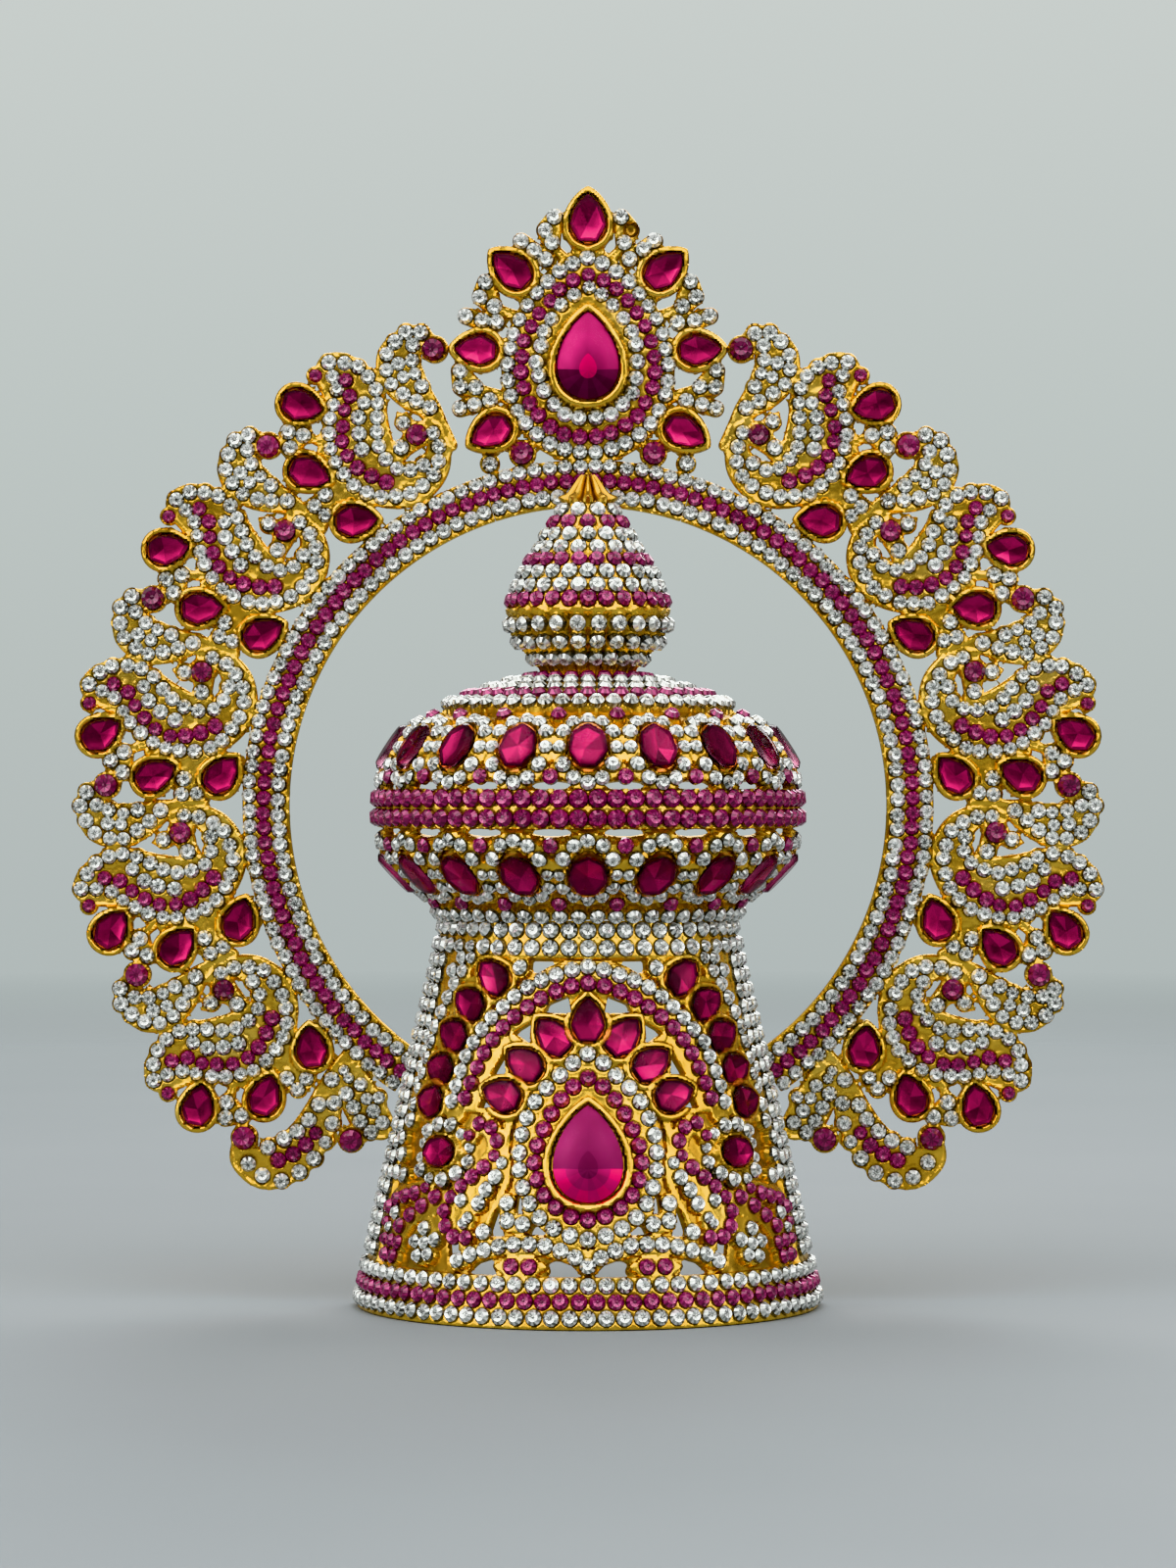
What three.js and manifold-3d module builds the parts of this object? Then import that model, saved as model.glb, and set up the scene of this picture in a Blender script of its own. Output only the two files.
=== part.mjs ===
// Deity crown: an open-backed, gold-plated crown for a statue, set with glass stones.
//
// Millimetres, +Z up, the front faces -Y. The crown stands on the rim of its cup at z = 0.
// Three half shells of revolution stand on each other on one upright axis: the cup, the bulb
// and the finial. A flat pierced halo is fixed behind their rear edges: a ring band with
// five paisley units on each side and a crest on top.

import * as THREE from 'three';
import { mergeVertices } from 'three/addons/utils/BufferGeometryUtils.js';
import Module from 'manifold-3d';

const wasm = await Module();
wasm.setup();

// ---------------------------------------------------------------- driving sizes

const SEAM = 0.3;              // gap left at a soldered seam or under a stone
const WALL = 1.8;              // thickness of the cast shells
const SHELL_SEGMENTS = 28;     // facets round a full turn of a shell

const RIM_RADIUS = 47.2;       // outer radius of the cup's rim band at the floor
const RIM_HEIGHT = 10.1;
const CUP_HEIGHT = 79;
const CUP_TOP_RADIUS = 29.3;
const TOP_BAND_LOW = 71.6;     // lower edge of the band round the top of the cup
const BAND_PROUD = 0.6;        // how far rim band and top band stand off the cone
const RELIEF = 0.7;            // height of the cast relief on the shells
const BULB_TOP = 128.6;
const FINIAL_TOP = 169;
const REAR_EDGE = 3;           // the half shells run this far behind their axis

const PLATE = 1.8;             // thickness of the halo's ground plate
const HALO_Z = 101.7;          // height of the halo's centre
const RING_INNER = 61.2;
const RING_OUTER = 70.8;
const RING_END = 146;          // degrees from the top to each end of the ring band
const UNIT_START = 18;         // degrees from the top to the first paisley unit
const UNIT_PITCH = 23;         // degrees from one paisley unit to the next
const RING_STEP = 7;           // degrees from one facet of the ring band to the next
const UNITS = 5;               // paisley units on each side
const UNIT_RADIUS = 88;        // the radius on which a unit's "along" is measured

// The shells' axis, placed so that y = 0 lies midway between rim front and halo back.
const AXIS_Y = (RIM_RADIUS - REAR_EDGE - SEAM - PLATE) / 2;
const HALO_BACK = AXIS_Y + REAR_EDGE + SEAM + PLATE;

const DROP_STONE = { length: 8.6, width: 6.4, height: 2.2 };
const LARGE_DROP = { length: 10.2, width: 7.4, height: 2.4 };
const PEAR_STONE = { length: 18.4, width: 13.3, height: 4.2 };
const BEZEL = 1.2;             // width of gold round a drop or pear stone
const POCKET = 0.5;            // how deep a stone sits in its setting
const ROUND_STONE = { pad: 3, height: 1.6 };
const TRIO_PAD = 2;            // gold round the middle of a small stone in a trio

// ---------------------------------------------------------------- materials

const gold = (name) => new THREE.MeshStandardMaterial({
  name,
  color: 0xd9a520,
  roughness: 0.28,
  metalness: 1,
});
const ruby = (name) => new THREE.MeshStandardMaterial({
  name,
  color: 0xa3093f,
  roughness: 0.08,
  metalness: 0.1,
});

// ---------------------------------------------------------------- solids

const rad = THREE.MathUtils.degToRad;

// Drops triangles that closed up to a line where a turned profile meets its axis.
function withoutSlivers(index) {
  const kept = [];
  for (let i = 0; i < index.length; i += 3) {
    const [a, b, c] = index.slice(i, i + 3);
    if (a !== b && b !== c && c !== a) kept.push(a, b, c);
  }
  return kept;
}

function solidOf(geometry) {
  const bare = geometry.clone();
  bare.deleteAttribute('normal');
  bare.deleteAttribute('uv');
  const merged = mergeVertices(bare, 1e-4);
  const triVerts = Uint32Array.from(withoutSlivers(merged.index.array));
  const vertProperties = Float32Array.from(merged.attributes.position.array);
  return new wasm.Manifold(new wasm.Mesh({ numProp: 3, vertProperties, triVerts }));
}

function geometryOf(solid) {
  const mesh = solid.getMesh();
  const geometry = new THREE.BufferGeometry();
  geometry.setAttribute('position', new THREE.BufferAttribute(mesh.vertProperties, 3));
  geometry.setIndex(new THREE.BufferAttribute(mesh.triVerts, 1));
  return geometry;
}

const join = (solids) => solids.reduce((whole, next) => whole.add(next));

// Closed loft through rings of equal count, first ring lowest, counter-clockwise from above.
function loft(rings) {
  const count = rings[0].length;
  const index = [];
  for (let level = 0; level + 1 < rings.length; level += 1) {
    for (let i = 0; i < count; i += 1) {
      const a = level * count + i;
      const b = level * count + (i + 1) % count;
      index.push(a, b, b + count, a, b + count, a + count);
    }
  }
  const top = (rings.length - 1) * count;
  for (let i = 1; i + 1 < count; i += 1) {
    index.push(0, i + 1, i);
    index.push(top, top + i, top + i + 1);
  }
  const geometry = new THREE.BufferGeometry();
  geometry.setFromPoints(rings.flat());
  geometry.setIndex(index);
  return geometry;
}

// ---------------------------------------------------------------- outlines

const disc = (radius, sides, x = 0, y = 0) => Array.from({ length: sides }, (_, i) => {
  const a = (2 * Math.PI * (i + 0.5)) / sides;
  return new THREE.Vector2(x + radius * Math.cos(a), y + radius * Math.sin(a));
});

const oval = (width, length, sides) => disc(0.5, sides)
  .map((p) => new THREE.Vector2(p.x * width, p.y * length));

// A pear outline between two heights. pinch 1 gives a pointed tip at the top, 0 an oval.
function pear(width, low, high, sides, pinch = 1) {
  const widest = 2 * Math.atan(Math.sqrt(1 + pinch));
  const bulge = (a) => Math.sin(a) * Math.sin(a / 2) ** pinch;
  const scale = width / 2 / bulge(widest);
  return Array.from({ length: sides }, (_, i) => {
    const a = (2 * Math.PI * i) / sides;
    const side = a > Math.PI ? -1 : 1;
    const half = scale * bulge(side > 0 ? a : 2 * Math.PI - a);
    return new THREE.Vector2(-side * half, (low + high) / 2 + ((high - low) / 2) * Math.cos(a));
  });
}

// The pear outline of a stone, grown all round by a margin.
const around = (stone, grow = 0, sides = 10) => pear(
  stone.width + 2 * grow,
  -stone.length / 2 - grow,
  stone.length / 2 + grow,
  sides,
);

// The outline of a strap that follows a smooth curve; each point has its own half width.
function strap(points, steps) {
  const route = points.map((p) => new THREE.Vector3(p.x, p.y, p.half));
  const curve = new THREE.CatmullRomCurve3(route, false, 'centripetal');
  const left = [];
  const right = [];
  for (let i = 0; i <= steps; i += 1) {
    const at = curve.getPoint(i / steps);
    const ahead = curve.getTangent(i / steps);
    const side = new THREE.Vector2(-ahead.y, ahead.x).normalize().multiplyScalar(at.z);
    left.push(new THREE.Vector2(at.x + side.x, at.y + side.y));
    right.unshift(new THREE.Vector2(at.x - side.x, at.y - side.y));
  }
  return left.concat(right);
}

// An outline extruded between two heights, lying in the outline's own x, y plane.
function slab(outline, low, high, hole = null) {
  const shape = new THREE.Shape(outline);
  if (hole) shape.holes.push(new THREE.Path(hole));
  const geometry = new THREE.ExtrudeGeometry(shape, { depth: high - low, bevelEnabled: false });
  return geometry.translate(0, 0, low);
}

// A stone: rings of its outline, each given as { scale, lift }, from base to table.
function stoneBody(outline, levels) {
  return loft(levels.map(({ scale, lift }) => (
    outline.map((p) => new THREE.Vector3(p.x * scale, p.y * scale, lift))
  )));
}

const lowCut = (height, table = 0.55) => [{ scale: 1, lift: 0 }, { scale: table, lift: height }];

// ---------------------------------------------------------------- shells of revolution

// A solid turned about the Z axis from its outline, a list of [radius, height] going up.
function turned(outline) {
  const closed = [[0, outline[0][1]], ...outline, [0, outline.at(-1)[1]]];
  const points = closed.map(([r, z]) => new THREE.Vector2(r, z));
  return solidOf(new THREE.LatheGeometry(points, SHELL_SEGMENTS).rotateX(Math.PI / 2));
}

// The front half of a turned shell: what its hollow leaves, cut off behind the axis.
function halfShell(outer, hollow) {
  const reach = 2 * RIM_RADIUS;
  const front = new THREE.BoxGeometry(2 * reach, reach, 3 * reach);
  front.translate(0, REAR_EDGE - reach / 2, reach);
  return turned(outer).subtract(turned(hollow)).intersect(solidOf(front));
}

// Where a shell's outer surface is: its radius at each height, from a table of [radius, height].
function radiusAt(profile, height) {
  let k = 1;
  while (k + 1 < profile.length && profile[k][1] < height) k += 1;
  const [r0, z0] = profile[k - 1];
  const [r1, z1] = profile[k];
  return THREE.MathUtils.lerp(r0, r1, (height - z0) / (z1 - z0));
}

// Lays a flat piece, x across, y up and z outwards, on the shell at one turn and height.
function seatOn(profile, geometry, turn, height, lean = 0) {
  const step = 0.5;
  const rise = new THREE.Vector2(
    radiusAt(profile, height + step) - radiusAt(profile, height - step),
    2 * step,
  ).normalize();
  const placed = geometry.clone().rotateZ(lean);
  const across = new THREE.Vector3(Math.cos(turn), Math.sin(turn), 0);
  const outward = new THREE.Vector3(Math.sin(turn), -Math.cos(turn), 0);
  const up = outward.clone().multiplyScalar(rise.x).add(new THREE.Vector3(0, 0, rise.y));
  const normal = across.clone().cross(up);
  const frame = new THREE.Matrix4().makeBasis(across, up, normal);
  frame.setPosition(outward.multiplyScalar(radiusAt(profile, height)).setZ(height));
  return placed.applyMatrix4(frame);
}

// Bends a flat slab, x measured on a circle of ARC_RADIUS and z outwards, round the shell.
const ARC_RADIUS = 40;
function bendOn(profile, geometry) {
  const at = geometry.attributes.position;
  for (let i = 0; i < at.count; i += 1) {
    const turn = at.getX(i) / ARC_RADIUS;
    const height = at.getY(i);
    const r = radiusAt(profile, height) + at.getZ(i);
    at.setXYZ(i, r * Math.sin(turn), -r * Math.cos(turn), height);
  }
  return geometry;
}

// ---------------------------------------------------------------- cup

const CONE_SLOPE = (RIM_RADIUS - CUP_TOP_RADIUS) / CUP_HEIGHT;
const CONE_FOOT = RIM_RADIUS - BAND_PROUD;
const coneAt = (z) => CONE_FOOT - CONE_SLOPE * z;
const CONE = [[coneAt(0), 0], [coneAt(CUP_HEIGHT), CUP_HEIGHT]];

const CUP_PROFILE = [
  [RIM_RADIUS, 0],
  [coneAt(RIM_HEIGHT) + BAND_PROUD, RIM_HEIGHT - BAND_PROUD / 2],
  [coneAt(RIM_HEIGHT), RIM_HEIGHT],
  [coneAt(TOP_BAND_LOW), TOP_BAND_LOW],
  [coneAt(TOP_BAND_LOW) + BAND_PROUD, TOP_BAND_LOW + BAND_PROUD / 2],
  [CUP_TOP_RADIUS, CUP_HEIGHT],
];
const CUP_HOLLOW = [
  [coneAt(-SEAM) - WALL, -SEAM],
  [coneAt(CUP_HEIGHT + SEAM) - WALL, CUP_HEIGHT + SEAM],
];

const CUP_PEAR_UP = 33.5;
const CUP_PEAR_FLOOR = 1.2;    // the pear setting's floor stands this far off the cone
const PEAR_RING = { width: 30.4, low: 15.6, high: 54.6, band: 6.5 };
const PEAR_BEZEL = 1.9;

// Drop settings on one side of the cup: place on the cone and lean of the tip from upright.
const CUP_DROPS = [
  { across: 8.1, up: 56.3, lean: 43 },
  { across: 14.3, up: 50.9, lean: 56 },
  { across: 18.9, up: 44.7, lean: 74 },
  { across: 25.2, up: 67.6, lean: 50 },
  { across: 31.5, up: 62.2, lean: 62 },
  { across: 35.3, up: 55.9, lean: 68 },
  { across: 37.9, up: 49.1, lean: 76 },
  { across: 39.5, up: 42.7, lean: 84 },
];
const CUP_TOP_DROP = { across: 0, up: 59.4, lean: 0 };
const CUP_EYE = { across: 33, up: 33, width: 9, length: 6.4, height: 2.2, ring: 3.6 };

// Raised straps on one side of the cup, each a smooth curve of across, up and half width.
const CUP_STRAPS = {
  arch: [
    { x: 0, y: 68.4, half: 3.2 },
    { x: 9.5, y: 66.2, half: 3.2 },
    { x: 19.5, y: 61, half: 3.2 },
    { x: 27.5, y: 52, half: 3.2 },
    { x: 30.8, y: 41.5, half: 3 },
  ],
  scroll: [
    { x: 25.7, y: 36.4, half: 1.6 },
    { x: 22.6, y: 39.2, half: 1.9 },
    { x: 18.9, y: 34.6, half: 2.5 },
    { x: 21.6, y: 28.4, half: 3.4 },
    { x: 25.4, y: 23, half: 3.8 },
    { x: 25, y: 16.8, half: 2.4 },
  ],
};

// Gaps cut right through one side of the cup's panel, corners given as across, up.
const CUP_GAPS = {
  besideTopDrop: [[3.9, 60.9], [10.8, 61], [9.6, 62.8], [4.9, 64.2]],
  besideSecondDrop: [[13.4, 59.3], [18.2, 57], [13.7, 54.9]],
  besideThirdDrop: [[18.5, 48.8], [19.6, 53.6], [22.9, 48.6]],
  ringSide: [[10.9, 21.5], [13.7, 25.4], [12.2, 25.6]],
  besideTrefoil: [[17.9, 23.2], [19.2, 19.4], [18.6, 17.8], [16.9, 17.8]],
  garlandInner: [[0.7, 10.4], [6.2, 10.4], [6.5, 13.2], [4.6, 12.9]],
  garlandOuter: [[15.8, 11.5], [17.3, 10.4], [21.4, 10.4], [17, 13.5]],
  garlandEnd: [[24.9, 13.9], [25, 15.9], [28.2, 15.9], [27, 11.8]],
};

const mirrored = (outline, side) => outline.map((p) => new THREE.Vector2(side * p.x, p.y));

// A setting with its stone as one body, from inside the wall up to the stone's table.
function setStone(outline, bezel, height) {
  const widest = Math.max(...outline.map((p) => p.length()));
  return stoneBody(outline, [
    { scale: 1 + bezel / widest, lift: -WALL / 2 },
    { scale: 0.45, lift: RELIEF + height },
  ]);
}

function cupDrop({ across, up, lean }, side) {
  const body = setStone(around(LARGE_DROP, 0, 7), BEZEL, LARGE_DROP.height);
  return solidOf(seatOn(CONE, body, (side * across) / ARC_RADIUS, up, -side * rad(lean)));
}

function cupEye(side) {
  const { across, up, width, length, height, ring } = CUP_EYE;
  const body = setStone(oval(width, length, 8), ring, height);
  return solidOf(seatOn(CONE, body, (side * across) / ARC_RADIUS, up));
}

const cupStraps = (side) => Object.values(CUP_STRAPS).map((points) => {
  const outline = mirrored(strap(points, points.length - 1), side);
  return solidOf(bendOn(CONE, slab(outline, -WALL / 2, RELIEF)));
});

const cupGaps = (side) => Object.values(CUP_GAPS).map((corners) => {
  const outline = corners.map(([x, y]) => new THREE.Vector2(side * x, y));
  return solidOf(bendOn(CONE, slab(outline, -2 * WALL, 2 * WALL)));
});

// The raised double ring of small stones round the large pear stone.
function pearRing() {
  const { width, low, high, band } = PEAR_RING;
  const outer = pear(width, low, high, 16, 0.35);
  const inner = pear(width - 2 * band, low + band, high - 1.3 * band, 12, 0.6);
  return solidOf(bendOn(CONE, slab(outer, -WALL / 2, RELIEF, inner)));
}

// The collar that holds a large pear stone, with the pocket for its base.
function pearSetting(low, floor) {
  const collar = slab(around(PEAR_STONE, PEAR_BEZEL, 12), low, floor + POCKET);
  const pocket = slab(around(PEAR_STONE, SEAM, 12), floor, floor + 2 * POCKET);
  return geometryOf(solidOf(collar).subtract(solidOf(pocket)));
}

function cupShell() {
  const pieces = [
    halfShell(CUP_PROFILE, CUP_HOLLOW),
    pearRing(),
    solidOf(seatOn(CONE, pearSetting(-WALL, CUP_PEAR_FLOOR), 0, CUP_PEAR_UP)),
    cupDrop(CUP_TOP_DROP, 1),
  ];
  for (const side of [-1, 1]) {
    pieces.push(...CUP_DROPS.map((place) => cupDrop(place, side)));
    pieces.push(cupEye(side), ...cupStraps(side));
  }
  const gaps = [-1, 1].flatMap((side) => cupGaps(side));
  return join(pieces).subtract(join(gaps));
}

// ---------------------------------------------------------------- bulb

const BULB = [
  [CUP_TOP_RADIUS, CUP_HEIGHT + SEAM],
  [38.5, 88.5],
  [41.6, 93.5],
  [42.8, 98],
  [42.8, 105],
  [40.5, 111.5],
  [34, 119.4],
  [25, 124.5],
  [11.5, BULB_TOP],
];
const BULB_HOLLOW = [
  [27.5, CUP_HEIGHT],
  [37, 89.8],
  [40.6, 97],
  [40.6, 105],
  [32.2, 117.6],
  [9, BULB_TOP + SEAM],
];

const OVALS = 9;               // oval stones in each row of the bulb
const OVAL_PITCH = 20;         // degrees between them
const OVAL_STONE = { width: 7.4, length: 9.8, height: 2.4 };
const OVAL_ROWS = [88.6, 113.2];
const BELT_GAP_ROWS = [97.1, 106.3];
const BELT_GAP = { width: 7, height: 1.5 };

function bulbShell() {
  const outline = oval(OVAL_STONE.width, OVAL_STONE.length, 6);
  const stone = stoneBody(outline, lowCut(OVAL_STONE.height + WALL / 2, 0.5));
  stone.translate(0, 0, -WALL / 2);
  const slot = new THREE.BoxGeometry(BELT_GAP.width, BELT_GAP.height, 4 * WALL);
  const stones = [];
  const gaps = [];
  for (let i = 0; i < OVALS; i += 1) {
    const turn = rad((i - (OVALS - 1) / 2) * OVAL_PITCH);
    for (const height of OVAL_ROWS) stones.push(solidOf(seatOn(BULB, stone, turn, height)));
    if (i > 1 && i < OVALS - 1) {
      const between = turn - rad(OVAL_PITCH / 2);
      for (const row of BELT_GAP_ROWS) gaps.push(solidOf(seatOn(BULB, slot, between, row)));
    }
  }
  return join([halfShell(BULB, BULB_HOLLOW), ...stones]).subtract(join(gaps));
}

// ---------------------------------------------------------------- finial

const FINIAL = [
  [11.5, BULB_TOP + SEAM],
  [16.2, 135.4],
  [17.6, 143.4],
  [15.3, 146.3],
  [9.2, 156.8],
  [0, FINIAL_TOP],
];
const FINIAL_HOLLOW = [
  [9, BULB_TOP],
  [14.6, 136.6],
  [14.4, 144],
  [0, 158],
];

// ---------------------------------------------------------------- halo

// A place on the halo: degrees from its top and distance from its centre.
const haloSpot = (side, degrees, out) => new THREE.Vector2(
  side * out * Math.sin(rad(degrees)),
  HALO_Z + out * Math.cos(rad(degrees)),
);

// Degrees from the top of the halo to a place along a unit that starts at some angle.
const alongAngle = (start, along) => start + THREE.MathUtils.radToDeg(along / UNIT_RADIUS);

// Lays a flat piece, x across, y up and z forwards from the halo's back, in the halo.
const inHalo = (geometry) => geometry.rotateX(Math.PI / 2).translate(0, HALO_BACK, 0);

// Heights above the halo's back.
const HEIGHT = { ground: PLATE, setting: 2.9 };

// The ring band between two angles, drawn as a run of steps.
function ringOutline(side, from, to, inner, outer) {
  const steps = Math.ceil((to - from) / RING_STEP);
  const spots = (out) => Array.from({ length: steps + 1 }, (_, i) => (
    haloSpot(side, from + ((to - from) * i) / steps, out)
  ));
  return spots(inner).concat(spots(outer).reverse());
}

// One paisley unit. along is measured on the unit circle, out from the halo's centre, half is
// half a strap's width and tip is the way a drop points, clockwise from straight outwards.
const UNIT = {
  straps: [
    {
      piece: 'paisley body',
      height: HEIGHT.ground,
      steps: 7,
      route: [
        { along: 20, out: 105.2, half: 2.6 },
        { along: 18.6, out: 101.6, half: 5.2 },
        { along: 18, out: 97.4, half: 6.1 },
        { along: 20.6, out: 90.2, half: 6.7 },
        { along: 22.7, out: 84.8, half: 6.7 },
        { along: 22.1, out: 78.3, half: 5 },
        { along: 18.7, out: 75.2, half: 4.3 },
        { along: 14.2, out: 74.4, half: 3.9 },
        { along: 9.8, out: 75.7, half: 3.2 },
        { along: 6.6, out: 79.6, half: 2.5 },
        { along: 6.6, out: 83.6, half: 1.8 },
      ],
    },
    {
      piece: 'curl with its stem',
      height: HEIGHT.ground,
      steps: 6,
      route: [
        { along: 1.2, out: 99.4, half: 2 },
        { along: 3.2, out: 102.2, half: 2.5 },
        { along: 6.8, out: 101.2, half: 3.5 },
        { along: 8.5, out: 97, half: 4.8 },
        { along: 7.4, out: 91.4, half: 3.5 },
        { along: 5.2, out: 85.6, half: 1.9 },
        { along: 4.3, out: 78.4, half: 1.3 },
      ],
    },
  ],
  leaves: [
    [ // spiral leaf in the bend of the paisley
      { along: 6.4, out: 83.4 },
      { along: 8.8, out: 86.6 },
      { along: 10.5, out: 90 },
      { along: 13.9, out: 87.4 },
      { along: 13.4, out: 84.7 },
      { along: 17.4, out: 83.6 },
      { along: 17.4, out: 80.6 },
      { along: 9, out: 80.8 },
    ],
    [ // outer trio of small stones on its stalk
      { along: 26.8, out: 91.4 },
      { along: 28, out: 96.6 },
      { along: 31, out: 100 },
      { along: 34, out: 99.2 },
      { along: 35.6, out: 95 },
      { along: 34, out: 93.2 },
      { along: 29.8, out: 94.2 },
    ],
    [ // inner trio on the leaf under the middle drop
      { along: 27, out: 77 },
      { along: 28.6, out: 81.6 },
      { along: 29.8, out: 86 },
      { along: 38.6, out: 85 },
      { along: 39.6, out: 80.6 },
      { along: 36.8, out: 77.4 },
      { along: 34.6, out: 80.4 },
      { along: 31.8, out: 78 },
    ],
  ],
  rounds: [
    { along: 0.9, out: 98.6 },
    { along: 10.5, out: 83.7 },
  ],
  drops: [
    { along: 27, out: 100.7, tip: -140 },
    { along: 33.7, out: 88.8, tip: -150 },
    { along: 32.5, out: 75.2, tip: -125 },
  ],
};

// The curl that ends each side of the halo, with its leaf and the stone at the leaf's corner.
const END_CURL = {
  straps: [
    {
      piece: 'end curl',
      height: HEIGHT.ground,
      steps: 7,
      route: [
        { along: 2, out: 99, half: 2.2 },
        { along: 4.2, out: 101.3, half: 2.7 },
        { along: 8.4, out: 99.2, half: 4.3 },
        { along: 10.2, out: 93.6, half: 4.9 },
        { along: 10.4, out: 87.6, half: 4.3 },
        { along: 8.8, out: 80.8, half: 3.4 },
        { along: 6.2, out: 75, half: 2.2 },
        { along: 5.4, out: 70.6, half: 1.8 },
      ],
    },
    {
      piece: 'end leaf',
      height: HEIGHT.ground,
      steps: 3,
      route: [
        { along: 9, out: 73, half: 3 },
        { along: 13.4, out: 75.4, half: 4 },
        { along: 18, out: 77.6, half: 4.6 },
        { along: 21.8, out: 78.4, half: 3.6 },
      ],
    },
  ],
  leaves: [],
  rounds: [
    { along: 1.6, out: 97.9 },
    { along: 17.9, out: 83.8 },
  ],
  drops: [],
};

const slabInHalo = (outline, height) => solidOf(inHalo(slab(outline, 0, height)));

// The pad under three small stones: the triangle of their centres, widened all round.
function trioPad(centres) {
  const middle = centres.reduce((sum, c) => sum.clone().add(c)).divideScalar(3);
  return centres.flatMap((centre, i) => {
    const after = centres[(i + 1) % 3];
    const before = centres[(i + 2) % 3];
    const off = (a, b) => {
      const normal = new THREE.Vector2(b.y - a.y, a.x - b.x).normalize();
      const away = Math.sign(normal.dot(a.clone().sub(middle))) || 1;
      return centre.clone().addScaledVector(normal, away * TRIO_PAD);
    };
    return [off(before, centre), off(centre, after)];
  });
}

// A large round stone in the halo, joined to its pad.
function roundInHalo(x, y) {
  const { pad, height } = ROUND_STONE;
  const levels = [{ scale: 1, lift: 0 }, { scale: 0.6, lift: HEIGHT.ground + height }];
  return solidOf(inHalo(stoneBody(disc(pad, 6), levels).translate(x, y, 0)));
}

function motifPieces(motif, side, start) {
  const spot = ({ along, out }) => haloSpot(side, alongAngle(start, along), out);
  const straps = motif.straps.map(({ route, steps, height }) => {
    const points = route.map((p) => ({ ...spot(p), half: p.half }));
    return slabInHalo(strap(points, steps), height);
  });
  const leaves = motif.leaves.map((corners) => slabInHalo(corners.map(spot), HEIGHT.ground));
  const rounds = motif.rounds.map((place) => roundInHalo(...spot(place).toArray()));
  const settings = motif.drops.map((place) => {
    const setting = slab(around(DROP_STONE, BEZEL, 7), 0, HEIGHT.setting);
    return solidOf(inHalo(turnedDrop(setting, side, start, place)));
  });
  return [...straps, ...leaves, ...rounds, ...settings];
}

// Turns a drop's setting or stone the way its tip points and moves it to its place.
function turnedDrop(geometry, side, start, place) {
  const angle = alongAngle(start, place.along);
  const { x, y } = haloSpot(side, angle, place.out);
  return geometry.clone().rotateZ(-side * rad(angle + place.tip)).translate(x, y, 0);
}

const RING_GAP = THREE.MathUtils.radToDeg(SEAM / 2 / RING_INNER);

function haloWing(side) {
  const ring = ringOutline(side, UNIT_START + RING_GAP, RING_END, RING_INNER, RING_OUTER);
  const pieces = [solidOf(inHalo(slab(ring, 0, HEIGHT.ground)))];
  for (let i = 0; i < UNITS; i += 1) {
    pieces.push(...motifPieces(UNIT, side, UNIT_START + i * UNIT_PITCH));
  }
  pieces.push(...motifPieces(END_CURL, side, UNIT_START + UNITS * UNIT_PITCH));
  return join(pieces);
}

// ---------------------------------------------------------------- crest

const CREST_PLATE = { width: 35.6, low: 171.6, high: 216, pinch: 0.35 };
const CREST_PEAR_UP = 193.6;
const CREST_PEAR_FLOOR = 3.4;  // height of the pear setting's floor above the halo's back
const CREST_TOP_DROP = { x: 0, y: 221.8, tip: 0 };

// Pieces on one side of the crest; tip is the way a drop points, clockwise from upright.
const CREST_DROPS = [
  { x: 15.4, y: 210.9, tip: 48 },
  { x: 21.9, y: 195, tip: 88 },
  { x: 19.8, y: 178.4, tip: 122 },
];
const CREST_TRIOS = [
  [{ x: 6.8, y: 222.2 }, { x: 8.9, y: 219.6 }, { x: 7.4, y: 216.9 }],
  [{ x: 13.7, y: 217.3 }, { x: 11.2, y: 215.4 }, { x: 8.6, y: 213.6 }],
  [{ x: 21, y: 208.9 }, { x: 22.1, y: 205.9 }, { x: 19.3, y: 204.1 }],
  [{ x: 25, y: 202 }, { x: 21.7, y: 201 }, { x: 18.6, y: 200.6 }],
  [{ x: 26.4, y: 190.8 }, { x: 26.1, y: 187.4 }, { x: 23, y: 187.3 }],
  [{ x: 20.2, y: 184.8 }, { x: 23.3, y: 183.8 }, { x: 26.2, y: 183 }],
];
const CREST_SINGLE = { x: 20.1, y: 171.4, radius: 2.4 };
const CREST_ROUND = { x: 13.4, y: 173.4 };
const CREST_RAYS = [
  [{ x: 3, y: 212, half: 1.2 }, { x: 8.9, y: 218, half: 0.8 }],
  [{ x: 15, y: 202, half: 1.2 }, { x: 20, y: 204.2, half: 0.8 }],
  [{ x: 15, y: 184.6, half: 1.4 }, { x: 23, y: 187.4, half: 0.8 }],
];

function crestSide(side) {
  const { radius, x, y } = CREST_SINGLE;
  const trios = CREST_TRIOS.map((trio) => trioPad(trio.map((p) => new THREE.Vector2(p.x, p.y))));
  const rays = CREST_RAYS.map((ray) => strap(ray, 1));
  const pads = [...trios, ...rays, disc(radius, 6, x, y)];
  return [
    ...CREST_DROPS.map((place) => crestSetting(place, side)),
    ...pads.map((outline) => slabInHalo(mirrored(outline, side), HEIGHT.ground)),
    roundInHalo(side * CREST_ROUND.x, CREST_ROUND.y),
  ];
}

const inCrest = (geometry, place, side) => inHalo(
  geometry.clone().rotateZ(-side * rad(place.tip)).translate(side * place.x, place.y, 0),
);

const crestSetting = (place, side) => solidOf(
  inCrest(slab(around(LARGE_DROP, BEZEL, 8), 0, HEIGHT.setting), place, side),
);

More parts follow.
